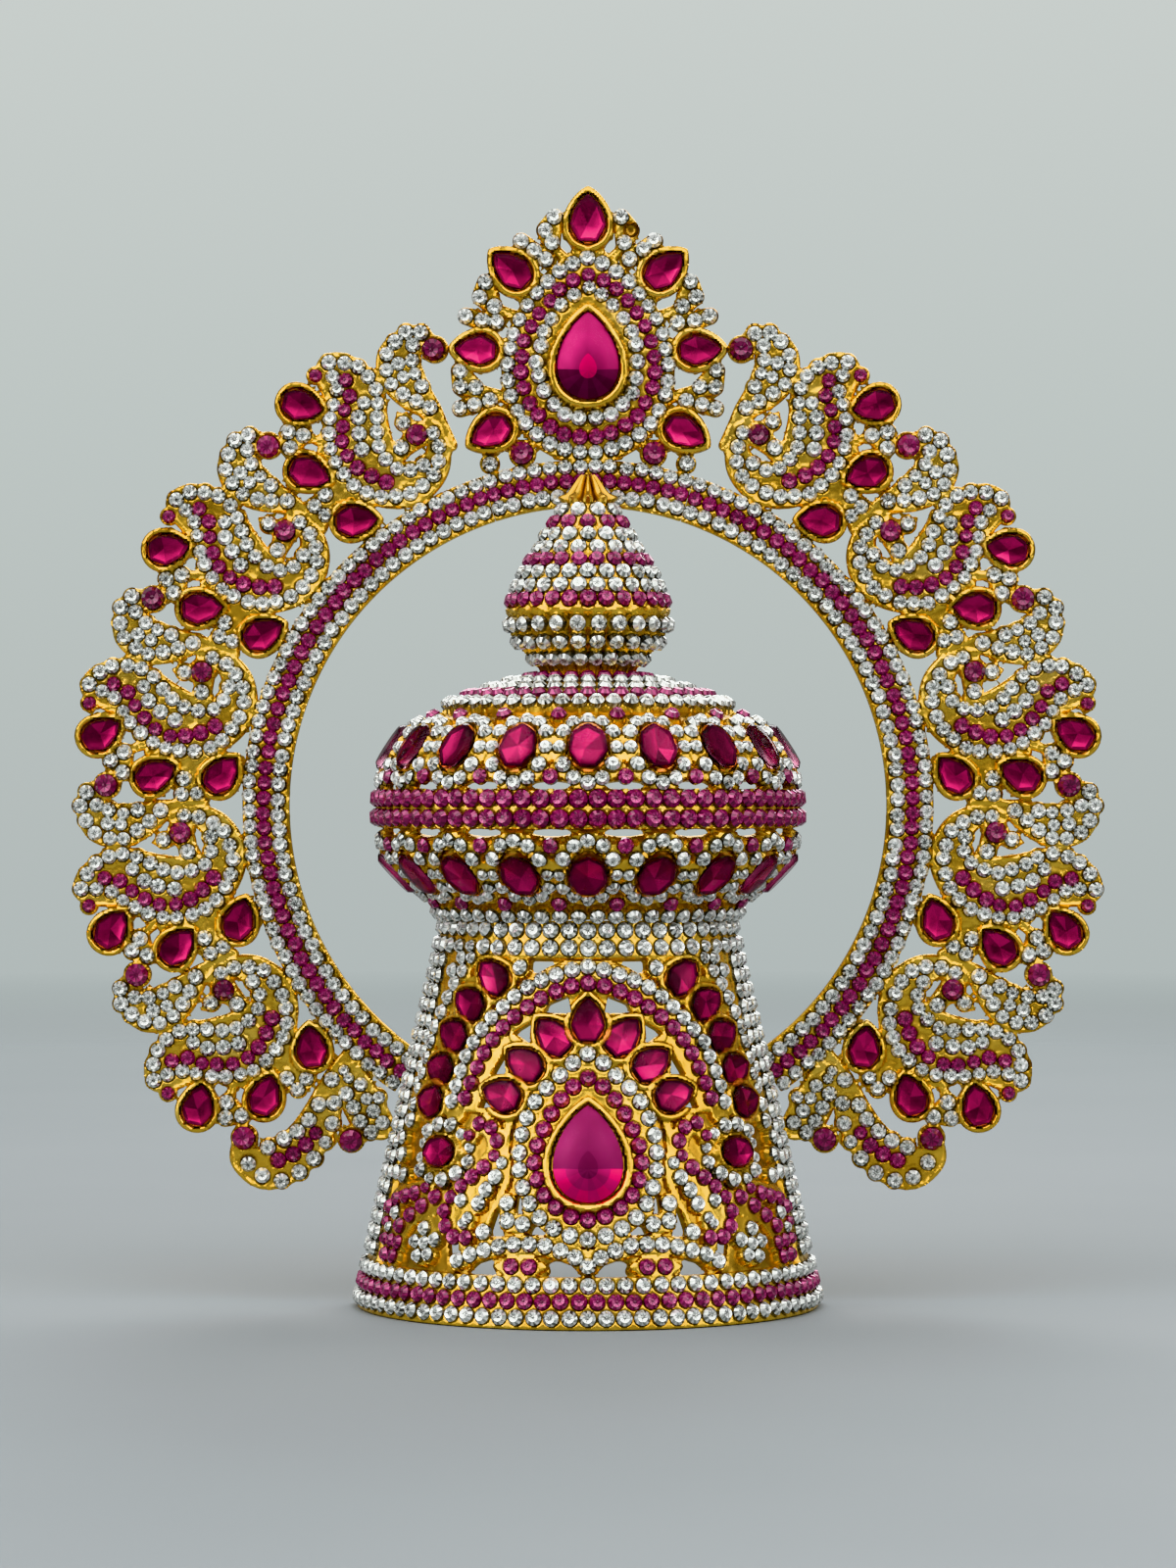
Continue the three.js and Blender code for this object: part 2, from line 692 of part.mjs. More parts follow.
function haloCrest() {
  const edge = UNIT_START - RING_GAP;
  const ring = ringOutline(1, -edge, edge, RING_INNER, RING_OUTER);
  const plate = pear(
    CREST_PLATE.width,
    CREST_PLATE.low,
    CREST_PLATE.high,
    15,
    CREST_PLATE.pinch,
  );
  const setting = pearSetting(0, CREST_PEAR_FLOOR).translate(0, CREST_PEAR_UP, 0);
  return join([
    solidOf(inHalo(slab(ring, 0, HEIGHT.ground))),
    solidOf(inHalo(slab(plate, 0, HEIGHT.ground))),
    solidOf(inHalo(setting)),
    crestSetting(CREST_TOP_DROP, 1),
    ...crestSide(-1),
    ...crestSide(1),
  ]);
}

// ---------------------------------------------------------------- the crown

const crown = new THREE.Group();
const shells = new THREE.Group();
shells.position.y = AXIS_Y;
crown.add(shells);

function addPiece(parent, name, geometry, material) {
  const flat = geometry.toNonIndexed();
  flat.computeVertexNormals();
  const mesh = new THREE.Mesh(flat, material(name));
  mesh.name = name;
  parent.add(mesh);
  return mesh;
}

addPiece(shells, 'cup_shell', geometryOf(cupShell()), gold);
addPiece(shells, 'bulb_shell', geometryOf(bulbShell()), gold);
addPiece(shells, 'finial_shell', geometryOf(halfShell(FINIAL, FINIAL_HOLLOW)), gold);
addPiece(crown, 'halo_crest', geometryOf(haloCrest()), gold);

// Stones that are pieces of their own stand a seam's width above their setting's floor.
const dropStone = stoneBody(around(DROP_STONE, 0, 7), lowCut(DROP_STONE.height));
const largeDrop = stoneBody(around(LARGE_DROP, 0, 8), lowCut(LARGE_DROP.height));
const pearStone = stoneBody(around(PEAR_STONE, 0, 12), [
  { scale: 1, lift: 0 },
  { scale: 0.86, lift: PEAR_STONE.height * 0.6 },
  { scale: 0.5, lift: PEAR_STONE.height },
]);

const cupPear = pearStone.clone().translate(0, 0, CUP_PEAR_FLOOR + SEAM);
addPiece(shells, 'cup_pear_stone', seatOn(CONE, cupPear, 0, CUP_PEAR_UP), ruby);

const crestPear = pearStone.clone().translate(0, CREST_PEAR_UP, CREST_PEAR_FLOOR + SEAM);
addPiece(crown, 'crest_pear_stone', inHalo(crestPear), ruby);

const onSetting = (stone) => stone.clone().translate(0, 0, HEIGHT.setting + SEAM);
addPiece(crown, 'crest_drop_stone_top', inCrest(onSetting(largeDrop), CREST_TOP_DROP, 1), ruby);

for (const [side, word] of [[-1, 'left'], [1, 'right']]) {
  addPiece(crown, `halo_wing_${word}`, geometryOf(haloWing(side)), gold);
  CREST_DROPS.forEach((place, i) => {
    const stone = inCrest(onSetting(largeDrop), place, side);
    addPiece(crown, `crest_drop_stone_${word}_${i + 1}`, stone, ruby);
  });
  for (let unit = 0; unit < UNITS; unit += 1) {
    UNIT.drops.forEach((place, i) => {
      const start = UNIT_START + unit * UNIT_PITCH;
      const stone = inHalo(turnedDrop(onSetting(dropStone), side, start, place));
      const number = unit * UNIT.drops.length + i + 1;
      addPiece(crown, `halo_drop_stone_${word}_${number}`, stone, ruby);
    });
  }
}

export default crown;
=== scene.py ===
"""Deity crown: the look of a gold-plated statue crown set with glass stones.

Lengths here are millimetres unless a comment says metres; make_piece turns them into metres.
Every metal piece is a skin over a surface: a grid says where there is metal and how high the
cast relief stands, and the skin is cut along the edge of the metal. Small stones are joined
meshes that share one cut; large stones are glass over a faceted foil.
"""
import math
from dataclasses import dataclass

import bpy
import numpy as np
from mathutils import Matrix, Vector


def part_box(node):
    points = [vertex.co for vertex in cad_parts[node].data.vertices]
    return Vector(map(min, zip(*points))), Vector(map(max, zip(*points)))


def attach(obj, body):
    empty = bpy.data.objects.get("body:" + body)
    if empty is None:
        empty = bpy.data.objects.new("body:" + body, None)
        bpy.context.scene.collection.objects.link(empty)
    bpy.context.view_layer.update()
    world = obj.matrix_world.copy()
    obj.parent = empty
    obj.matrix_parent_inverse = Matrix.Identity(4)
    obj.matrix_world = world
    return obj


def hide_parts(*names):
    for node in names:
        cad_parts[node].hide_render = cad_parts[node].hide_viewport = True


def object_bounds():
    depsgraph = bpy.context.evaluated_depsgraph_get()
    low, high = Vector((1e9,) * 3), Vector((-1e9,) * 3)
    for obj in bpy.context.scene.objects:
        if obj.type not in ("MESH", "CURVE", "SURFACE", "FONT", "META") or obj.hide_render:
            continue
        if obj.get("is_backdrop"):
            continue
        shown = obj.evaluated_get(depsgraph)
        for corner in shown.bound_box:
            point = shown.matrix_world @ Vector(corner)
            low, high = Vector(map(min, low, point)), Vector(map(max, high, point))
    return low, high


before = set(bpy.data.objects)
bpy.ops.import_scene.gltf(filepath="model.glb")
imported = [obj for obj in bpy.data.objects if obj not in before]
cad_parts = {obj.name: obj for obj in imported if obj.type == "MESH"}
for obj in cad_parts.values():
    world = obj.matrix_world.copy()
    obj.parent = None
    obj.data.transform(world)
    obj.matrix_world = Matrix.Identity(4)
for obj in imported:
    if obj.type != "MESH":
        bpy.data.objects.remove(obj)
cad_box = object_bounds()

MM = 0.001
rng = np.random.default_rng(19)

# ---------------- places taken from the frame

REAR_EDGE = 3.0  # the half shells run this far behind their axis
AXIS_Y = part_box("cup_shell")[1][1] / MM - REAR_EDGE
HALO_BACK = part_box("halo_wing_left")[1][1] / MM
CUP_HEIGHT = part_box("cup_shell")[1][2] / MM
HALO_Z = 101.7  # height of the halo's centre

# ---------------- sizes

CELL = 0.45  # spacing of the grid that the relief is drawn on
FRONT_CELL = 0.37  # its spacing on the front of the cup
SIDE_CELL = 0.62  # its spacing on the cup's sides
EDGE = 0.4  # radius on the edges of the metal
WALL = 1.6  # thickness of the shells
PLATE = 1.8  # thickness of the halo
RELIEF = 0.6  # height of the cast straps on the shells
GROUND = -0.5  # height of the ground between them
BEZEL_TOP = 2.9  # height of a drop's bezel above the halo's back
STONE_RADIUS = 1.62  # the usual small stone
ROUND_RADIUS = 2.35  # the large round purple stones
RING_PINCH = 0.35  # how pointed the rings round the two pears are
STONE_PLAY = 0.08  # a large stone is this much smaller than its setting, all round

RING_INNER, RING_OUTER = 61.2, 70.8
RING_END = 146.0  # degrees from the top to each end of the ring
RING_ROWS = [(63.5, "clear"), (66.5, "purple"), (69.4, "clear")]
RING_PITCH = 3.08
UNIT_START, UNIT_PITCH, UNITS = 18.0, 23.0, 5
UNIT_RADIUS = 88.0  # the radius on which a unit's "along" is measured
RING_JOINT = 45.7  # degrees from the top to the joint seen in the left side
JOINT_HALF, JOINT_DEPTH, JOINT_SLOPE = 0.35, 0.4, 0.4  # half width, depth and width of its sides
SEAM = 0.03  # degrees left open on each side of a joint between pieces

# ---------------- lines and outlines


def curve(points, closed=False, steps=10):
    """A smooth line through points, drawn as short steps."""
    p = np.asarray(points, float)
    if closed:
        ext = np.vstack([p[-1:], p, p[:2]])
    else:
        ext = np.vstack([2 * p[:1] - p[1:2], p, 2 * p[-1:] - p[-2:-1]])
    t = np.linspace(0, 1, steps, endpoint=False)[:, None]
    spans = [
        0.5 * (2 * b + (c - a) * t + (2 * a - 5 * b + 4 * c - d) * t**2 + (3 * b - a - 3 * c + d) * t**3)
        for a, b, c, d in zip(ext[:-3], ext[1:-2], ext[2:-1], ext[3:])
    ]
    line = np.vstack(spans)
    return line if closed else np.vstack([line, p[-1:]])


def spaced(line, count, closed=False, surface=None):
    """count places at equal distances along a line, measured on a surface if one is given."""
    if closed:
        line = np.vstack([line, line[:1]])
    real = line if surface is None else surface.at(line[:, 0], line[:, 1])[0]
    run = np.concatenate([[0], np.cumsum(np.linalg.norm(np.diff(real, axis=0), axis=1))])
    at = np.linspace(0, run[-1], count, endpoint=not closed)
    return np.stack([np.interp(at, run, line[:, k]) for k in range(line.shape[1])], axis=1)


def mirror_half(half):
    """A closed line from its right half, given from the top to the bottom."""
    right = np.asarray(half, float)
    inner = right[1:-1] if right[-1][0] == 0 else right[1:]
    return np.vstack([right, inner[::-1] * [-1, 1]])


def pear(width, low, high, pinch, sides):
    """A pear outline between two heights; pinch 1 gives a pointed tip at the top, 0 an oval."""
    a = np.linspace(0, 2 * np.pi, sides, endpoint=False)
    fold = np.where(a > np.pi, 2 * np.pi - a, a)
    side = np.where(a > np.pi, 1.0, -1.0)
    bulge = np.sin(fold) * np.sin(fold / 2) ** pinch
    x = side * width / 2 * bulge / bulge.max()
    return np.stack([x, (low + high) / 2 + (high - low) / 2 * np.cos(a)], axis=1)


@dataclass
class Setting:
    """A large stone and the bezel that holds it; heights are above the surface."""

    width: float
    length: float
    band: float  # width of the bezel
    rim: float  # height of the bezel
    level: float  # height of the stone's foot
    crown: float  # height of the stone over its foot
    pocket: float = 0.9  # depth of the bezel's inside
    pinch: float = 0.5  # how pointed the stone's tip is; 0 is an oval
    sides: int = 28
    field: tuple = ()  # a smooth stone's foil: its painted light from the rim inwards
    foot: tuple = ()  # the same in the fan of facets at its foot

    def outline(self, grow=0.0):
        half = self.length / 2 + grow
        return pear(self.width + 2 * grow, -half, half, self.pinch, self.sides)


def at_height(outline, height):
    """The points of a flat outline, all at one height."""
    return np.column_stack([outline, np.full(len(outline), height)])


def unit(vectors):
    return vectors / np.linalg.norm(vectors, axis=-1, keepdims=True)


def depth_in_outline(x, y, outline):
    """Distance inside a closed outline, negative outside it."""
    nearest = np.full(x.shape, 1e9)
    inside = np.zeros(x.shape, bool)
    for (x0, y0), (x1, y1) in zip(outline, np.roll(outline, -1, axis=0)):
        ex, ey = x1 - x0, y1 - y0
        t = np.clip(((x - x0) * ex + (y - y0) * ey) / (ex * ex + ey * ey + 1e-12), 0, 1)
        nearest = np.minimum(nearest, (x - x0 - t * ex) ** 2 + (y - y0 - t * ey) ** 2)
        if y0 != y1:
            inside ^= ((y0 > y) != (y1 > y)) & (x < ex * (y - y0) / ey + x0)
    return np.where(inside, 1, -1) * np.sqrt(nearest)


def depth_in_strap(x, y, line):
    """Distance inside a strap, given as rows of x, y and half width."""
    best = np.full(x.shape, -1e9)
    for (x0, y0, r0), (x1, y1, r1) in zip(line[:-1], line[1:]):
        ex, ey = x1 - x0, y1 - y0
        t = np.clip(((x - x0) * ex + (y - y0) * ey) / (ex * ex + ey * ey + 1e-12), 0, 1)
        best = np.maximum(best, r0 + (r1 - r0) * t - np.hypot(x - x0 - t * ex, y - y0 - t * ey))
    return best


def trio_outline(centres, grow):
    """The triangle of three stones' centres, widened all round, as a strap that closes."""
    return at_height([*centres, centres[0]], grow)


# ---------------- surfaces


class Plane:
    """The halo's back plane: u across, v up, height towards the front."""

    grows = True  # metal is only where something is laid
    back = 0.0  # height of the metal's rear face

    def stretch(self, v):
        return np.ones_like(np.asarray(v, float))

    def at(self, u, v):
        u, v = np.broadcast_arrays(np.asarray(u, float), np.asarray(v, float))
        point = np.stack([u, np.full(u.shape, HALO_BACK), v], axis=-1)
        across, up, normal = (np.broadcast_to(np.array(a, float), point.shape)
                              for a in ((1, 0, 0), (0, 0, 1), (0, -1, 0)))
        return point, across, up, normal


class Shell:
    """A surface of revolution: u is measured round a reference circle, v along the profile."""

    grows = False  # metal is everywhere but in the cuts
    back = -WALL

    def __init__(self, profile, reference):
        line = curve(profile, steps=8)
        run = np.concatenate([[0], np.cumsum(np.linalg.norm(np.diff(line, axis=0), axis=1))])
        self.run, self.radius, self.height, self.reference = run, line[:, 0], line[:, 1], reference
        self.slope_r = np.gradient(self.radius, run)
        self.slope_z = np.gradient(self.height, run)
        self.length = run[-1]

    def stretch(self, v):
        return np.interp(v, self.run, self.radius) / self.reference

    def rise(self, height):
        """How far along the profile a height is."""
        return float(np.interp(height, self.height, self.run))

    def at(self, u, v):
        u, v = np.broadcast_arrays(np.asarray(u, float), np.asarray(v, float))
        turn = u / self.reference
        r, z, dr, dz = (np.interp(v, self.run, a)
                        for a in (self.radius, self.height, self.slope_r, self.slope_z))
        zero = np.zeros_like(turn)
        out = np.stack([np.sin(turn), -np.cos(turn), zero], axis=-1)
        across = np.stack([np.cos(turn), np.sin(turn), zero], axis=-1)
        upright = np.array([0.0, 0.0, 1.0])
        point = out * r[..., None] + np.stack([zero, zero + AXIS_Y, z], axis=-1)
        up = unit(out * dr[..., None] + upright * dz[..., None])
        return point, across, up, np.cross(across, up)


# ---------------- metal skins


def fall(depth):
    """How far a rounded edge has fallen at a depth inside it."""
    t = 1 - np.clip(depth / EDGE, 0, 1)
    return EDGE * (1 - np.sqrt(1 - t * t))


def ridge(away, reach):
    """A soft ridge: 1 on its line, and next to nothing at twice its reach."""
    return np.exp(-((away / reach) ** 2))


def grid_line(low, high, cell):
    """Evenly spaced places, in an even number of steps."""
    return np.linspace(low, high, 2 * max(1, int(round((high - low) / cell / 2))) + 1)


ALL = (slice(None), slice(None))
PAD_EDGE = 0.35  # how far the pad under a small stone shows round it
SEAT_DEPTH, SEAT_SLOPE = 0.35, 0.3  # the hollow that a small stone stands in
EMPTY_DEPTH, EMPTY_SLOPE = 0.8, 0.5  # the deeper one that a lost stone leaves
COLLAR_AWAY, COLLAR_SPREAD = 0.32, 0.22  # the collar's ridge, from the stone's edge
COLLAR_REACH = 1.6
SEAT_SHADE_REACH, GAP_SHADE_REACH, FOOT_SHADE_REACH = 0.2, 0.25, 0.22  # reach of painted shade: round seats, and inside and outside bezels
CREVICE_SHADE = 0.8  # painted shade at the foot of a bezel and in the ring's joint
OVERLAP = 0.05  # by how much crowded stones may run into each other
WAVES, WAVE_RATES, ANY_PHASE = 14, (0.8, 3.2), 6.3  # they make up the unevenness of the metal
EDGE_PLAY = 0.2  # room between the last stone of a row and the rear edge of its shell
NO_METAL = -9.0  # a depth far outside any metal
PLATE_SPARE, SHELL_SPARE = 3, 1  # how far the grid goes beyond a part
LEAST_SHARE = 0.06  # how near a cut may come to the grid's nodes, in steps


class Skin:
    """Metal over a surface, on a grid: metal is the depth inside its edge, top its height."""

    def __init__(self, surface, u_range, v_range, top, cell=CELL, front=None):
        self.surface = surface
        self.v = grid_line(*v_range, cell)
        if front is None:
            self.u = grid_line(*u_range, cell)
        else:
            left = grid_line(u_range[0], -front, SIDE_CELL)
            right = grid_line(front, u_range[1], SIDE_CELL)
            self.u = np.concatenate([left[:-1], grid_line(-front, front, cell), right[1:]])
        self.across, self.rise = np.meshgrid(self.u, self.v, indexing="ij")
        self.metal = np.full(self.across.shape, NO_METAL)
        self.form = self.metal.copy()  # as metal, but blind to seams between pieces
        self.top = np.full(self.across.shape, float(top))
        self.near = np.full(self.across.shape, 99.0)
        # painted shade: how much darker the gold is painted at each node, in hollows, crevices and round
        # stones
        self.painted_shade = np.zeros(self.across.shape)
        self.stones = []

    def window(self, low, high):
        """The part of the grid between two corners."""
        i0, i1 = np.searchsorted(self.u, [low[0], high[0]])
        j0, j1 = np.searchsorted(self.v, [low[1], high[1]])
        return slice(i0, i1), slice(j0, j1)

    def near_place(self, u, v, reach, lean=0.0):
        """A window round a place, and x and y in it; lean turns y clockwise from up."""
        wide = reach / float(self.surface.stretch(v))
        where = self.window((u - wide, v - reach), (u + wide, v + reach))
        x = (self.across[where] - u) * self.surface.stretch(self.rise[where])
        y = self.rise[where] - v
        c, s = math.cos(lean), math.sin(lean)
        return where, x * c - y * s, x * s + y * c

    def box_round(self, points, margin):
        """A window round some places, and across and rise in it."""
        where = self.window(np.min(points, axis=0) - margin, np.max(points, axis=0) + margin)
        return where, self.across[where], self.rise[where]

    def lay(self, where, depth, height, within=None):
        """Metal up to a height wherever depth is positive, with a rounded edge."""
        top = self.top[where]
        self.top[where] = np.where(depth > 0, np.maximum(top, height - fall(depth)), top)
        if self.surface.grows:
            self.form[where] = np.maximum(self.form[where], depth)
            held = depth if within is None else np.minimum(depth, within)
            self.metal[where] = np.maximum(self.metal[where], held)

    def strap(self, points, height, smooth=True):
        line = curve(points, steps=5) if smooth else np.asarray(points, float)
        where, x, y = self.box_round(line[:, :2], line[:, 2].max() + 1)
        self.lay(where, depth_in_strap(x, y, line), height)

    def outline(self, points, height):
        where, x, y = self.box_round(points, 1)
        self.lay(where, depth_in_outline(x, y, points), height)

    def disc(self, u, v, radius, height):
        where, x, y = self.near_place(u, v, radius + 1)
        self.lay(where, radius - np.hypot(x, y), height)

    def cut(self, points):
        """A gap right through."""
        where, x, y = self.box_round(points, 2)
        outside = -depth_in_outline(x, y, points)
        self.metal[where] = np.minimum(self.metal[where], outside)
        self.form[where] = np.minimum(self.form[where], outside)

    # paints shade: darkens the gold here by at least this amount
    def paint_shade(self, where, amount):
        self.painted_shade[where] = np.maximum(self.painted_shade[where], amount)

    def bezel(self, u, v, lean, setting):
        """A rounded collar round a large stone, with a pocket inside it."""
        outer, half = setting.outline(setting.band), setting.band / 2
        where, x, y = self.near_place(u, v, np.abs(outer).max() * 1.5 + 1, lean)
        depth = depth_in_outline(x, y, outer)
        inner = depth_in_outline(x, y, setting.outline())
        if self.surface.grows:
            self.form[where] = np.maximum(self.form[where], depth)
            self.metal[where] = np.maximum(self.metal[where], depth)
        across = np.clip((depth - half) / half, -1, 1)
        collar = setting.rim - half * (1 - np.sqrt(1 - across * across))
        top = np.where(depth > 0, np.maximum(self.top[where], collar), self.top[where])
        self.top[where] = np.where(inner > -STONE_PLAY, setting.rim - setting.pocket, top)
        # painted shadow in the gap round the stone, and painted shade at the bezel's foot
        self.paint_shade(where, ridge(inner, GAP_SHADE_REACH))
        self.paint_shade(where, CREVICE_SHADE * ridge(depth, FOOT_SHADE_REACH))

    def set_large(self, u, v, lean, setting, shine=0.0):
        """A bezel and its large stone, whose parts it gives back for stone_piece."""
        self.bezel(u, v, lean, setting)
        return large_stone(self.surface, u, v, lean, setting, shine)

    def seat(self, u, v, kind, radius=STONE_RADIUS, pad=None, empty=False):
        """A small stone. pad raises a little seat of metal under it first."""
        if pad is not None:
            self.disc(u, v, radius + PAD_EDGE, pad)
        i = int(np.clip(np.searchsorted(self.u, u), 0, len(self.u) - 1))
        j = int(np.clip(np.searchsorted(self.v, v), 0, len(self.v) - 1))
        level = self.top[i, j]
        self.stones.append(dict(u=u, v=v, kind=kind, radius=radius, level=level, empty=empty))

    def fit_stones(self, smallest, collar):
        """Shrinks stones that would touch, then sinks each into a collar of metal, with painted shade round
        it.
        """
        places = np.array([[s["u"], s["v"]] for s in self.stones])
        radii = np.array([s["radius"] for s in self.stones])
        for k, stone in enumerate(self.stones):
            gap = places - places[k]
            gap[:, 0] *= float(self.surface.stretch(stone["v"]))
            room = np.linalg.norm(gap, axis=1)
            room[k] = 99
            share = room * radii[k] / (radii + radii[k])
            fits = np.clip(share.min() + OVERLAP, min(smallest, radii[k]), radii[k])
            stone["radius"] = float(fits)
        for stone in self.stones:
            where, x, y = self.near_place(stone["u"], stone["v"], stone["radius"] + COLLAR_REACH)
            away = np.hypot(x, y) - stone["radius"]
            self.near[where] = np.minimum(self.near[where], away)
            if stone["empty"]:
                sunk = np.clip(-away / EMPTY_SLOPE, 0, 1)
                self.top[where] -= EMPTY_DEPTH * sunk
                # painted shade darkens the empty seat's hollow
                self.paint_shade(where, sunk)
        self.top -= SEAT_DEPTH * np.clip(-self.near / SEAT_SLOPE, 0, 1)
        self.top += collar * ridge(self.near - COLLAR_AWAY, COLLAR_SPREAD)
        # painted shade in a thin dark ring round each stone
        self.paint_shade(ALL, ridge(np.maximum(self.near, 0), SEAT_SHADE_REACH))

    def weather(self, amount):
        """The soft unevenness of hand-finished casting."""
        for _ in range(WAVES):
            k = rng.normal(size=2)
            k *= rng.uniform(*WAVE_RATES) / np.linalg.norm(k)
            wave = np.sin(k[0] * self.across + k[1] * self.rise + rng.uniform(0, ANY_PHASE))
            self.top += amount / 3 * wave


def cut_grid(field):
    """The part of a grid where a field is positive, as triangles cut along its zero line.

    Returns triangles over the inside nodes and the crossings, numbered one after the other;
    the nodes; each crossing's inside and outside node and its share of the way between them;
    and the edge's segments."""
    nu, nv = field.shape
    ids = np.arange(nu * nv).reshape(nu, nv)
    a, b, c, d = ids[:-1, :-1], ids[1:, :-1], ids[1:, 1:], ids[:-1, 1:]
    even = (np.add.outer(np.arange(nu - 1), np.arange(nv - 1)) % 2 == 0)
    first = np.stack([a, b, np.where(even, c, d)], axis=-1).reshape(-1, 3)
    second = np.stack([np.where(even, a, b), c, d], axis=-1).reshape(-1, 3)
    tris = np.vstack([first, second])
    flat = field.ravel()
    inside = flat[tris] > 0
    count = inside.sum(axis=1)
    full = tris[count == 3]

    def turned(rows, start):
        order = (start[:, None] + np.arange(3)) % 3
        return rows[np.arange(len(rows))[:, None], order]

    # Each cut triangle starts with the corner that stands alone: in first, or out first.
    in0, in1, in2 = turned(tris[count == 1], np.argmax(inside[count == 1], axis=1)).T
    out0, out1, out2 = turned(tris[count == 2], np.argmin(inside[count == 2], axis=1)).T
    size = nu * nv
    keys = np.concatenate([in0, in0, out1, out2]) * size + np.concatenate([in1, in2, out0, out0])
    keys, index = np.unique(keys, return_inverse=True)
    nodes = np.unique(np.concatenate([full.ravel(), in0, out1, out2]))
    number = np.full(size, -1)
    number[nodes] = np.arange(len(nodes))
    in_a, in_b, out_a, out_b = np.split(index + len(nodes), np.cumsum([len(in0), len(in0), len(out0)]))
    faces = np.vstack([
        number[full],
        np.column_stack([number[in0], in_a, in_b]),
        np.column_stack([number[out1], number[out2], out_b]),
        np.column_stack([number[out1], out_b, out_a]),
    ])
    edge = np.vstack([np.column_stack([in_a, in_b]), np.column_stack([out_b, out_a])])
    inner, outer = keys // size, keys % size
    share = np.clip(flat[inner] / (flat[inner] - flat[outer]), LEAST_SHARE, 1 - LEAST_SHARE)
    return faces, nodes, inner, outer, share, edge


def skin_points(skin, step, heights, cut):
    """Points of a cut grid at given heights over the surface."""
    _, nodes, inner, outer, share, _ = cut
    point, _, _, normal = skin.surface.at(skin.across[::step, ::step], skin.rise[::step, ::step])
    point, normal = point.reshape(-1, 3), normal.reshape(-1, 3)
    mix = share[:, None]
    base = np.vstack([point[nodes], point[inner] * (1 - mix) + point[outer] * mix])
    lift = np.vstack([normal[nodes], normal[inner] * (1 - mix) + normal[outer] * mix])
    return base + lift * heights[:, None], base, lift


LEAST_EDGE = 0.4  # height that the edge of the metal keeps over its back
# painted shade on the walls of the metal, and a little on its back
WALL_SHADE, BACK_SHADE = 0.45, 0.12


def skin_mesh(skin):
    """Vertices, faces and painted shade of a metal skin: its front, its walls and a plainer back."""
    top, painted_shade, back = skin.top.ravel(), skin.painted_shade.ravel(), skin.surface.back
    cut = cut_grid(skin.metal)
    faces, nodes, inner, _, _, edge = cut
    shoulder = skin.form.ravel()[inner]
    crossing = top[inner] + np.where(shoulder < EDGE, fall(shoulder) - EDGE, 0)
    heights = np.concatenate([top[nodes], np.maximum(crossing, back + LEAST_EDGE)])
    front, base, lift = skin_points(skin, 1, heights, cut)
    rim = np.unique(edge)
    number = np.full(len(front), -1)
    number[rim] = np.arange(len(rim)) + len(front)
    foot = base[rim] + lift[rim] * back
    e0, e1 = edge[:, 0], edge[:, 1]
    walls = np.vstack([
        np.column_stack([e1, e0, number[e0]]),
        np.column_stack([e1, number[e0], number[e1]]),
    ])
    rear_cut = cut_grid(skin.metal[::2, ::2])
    rear_count = len(rear_cut[1]) + len(rear_cut[2])
    rear, _, _ = skin_points(skin, 2, np.full(rear_count, back), rear_cut)
    rear_faces = rear_cut[0][:, ::-1] + len(front) + len(foot)
    # painted shade of the front, the walls and the back
    shade_amount = [painted_shade[nodes], painted_shade[inner], np.full(len(foot), WALL_SHADE), np.full(len(rear), BACK_SHADE)]
    return np.vstack([front, foot, rear]), np.vstack([faces, walls, rear_faces]), np.concatenate(shade_amount)


# ---------------- making pieces


def add_object(name, data):
    new = bpy.data.objects.new(name, data)
    bpy.context.scene.collection.objects.link(new)
    return new


METAL_SMOOTH, FACET_SMOOTH, DOME_SMOOTH = 42, 28, 60  # degrees; sharper edges stay sharp


def make_piece(name, points, faces, materials, layer, smooth=0, face_material=None):
    """A mesh object from arrays in millimetres that rides on the crown's body.

    layer is a name, POINT or FACE, and the values that its material reads; edges sharper
    than smooth degrees stay sharp."""
    mesh = bpy.data.meshes.new(name)
    mesh.from_pydata((points * MM).tolist(), [], faces.tolist())
    for material in materials:
        mesh.materials.append(material)
    if face_material is not None:
        mesh.polygons.foreach_set("material_index", np.asarray(face_material, np.int32))
    if smooth:
        mesh.polygons.foreach_set("use_smooth", np.ones(len(mesh.polygons), bool))
        mesh.set_sharp_from_angle(angle=math.radians(smooth))
    key, domain, values = layer
    values = np.asarray(values, np.float32)
    mesh.attributes.new(key, "FLOAT", domain).data.foreach_set("value", values)
    mesh.update()
    piece = add_object(name, mesh)
    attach(piece, "root")
    return piece


CENTRE_SIDES, GIRDLE_SIDES = 8, 16
CENTRE, TABLE, CROWN = 0.2, 0.6, 0.98  # radii of the cut, as shares of the stone's
DARK, DIM, EVEN, FAIR, BRIGHT = 0.05, 0.2, 0.45, 0.6, 0.85  # shares of painted light of its facets
GIRDLE_LIGHT = (0.3, 0.8)  # of every other facet between the table and the girdle
TABLE_HEIGHT = 0.65  # of the stone's radius
GIRDLE_HEIGHT = 0.3  # height of the girdle over the foot of the cut
SUNK, HIDDEN = 0.1, 0.5  # how deep a stone sits in the metal, and how far its wall reaches down
TILT = 0.06  # how much a small stone leans, spread
FACET_SPREAD, STONE_SPREAD = 0.17, 0.07  # how much facets and stones differ in light
ROUND_SPREAD, ROUND_LIGHT = 2.2, 0.72  # the large round stones differ more and are darker


def ring_of(sides, radius, z):
    a = 2 * np.pi * np.arange(sides) / sides
    return at_height(np.column_stack([radius * np.cos(a), radius * np.sin(a)]), z)


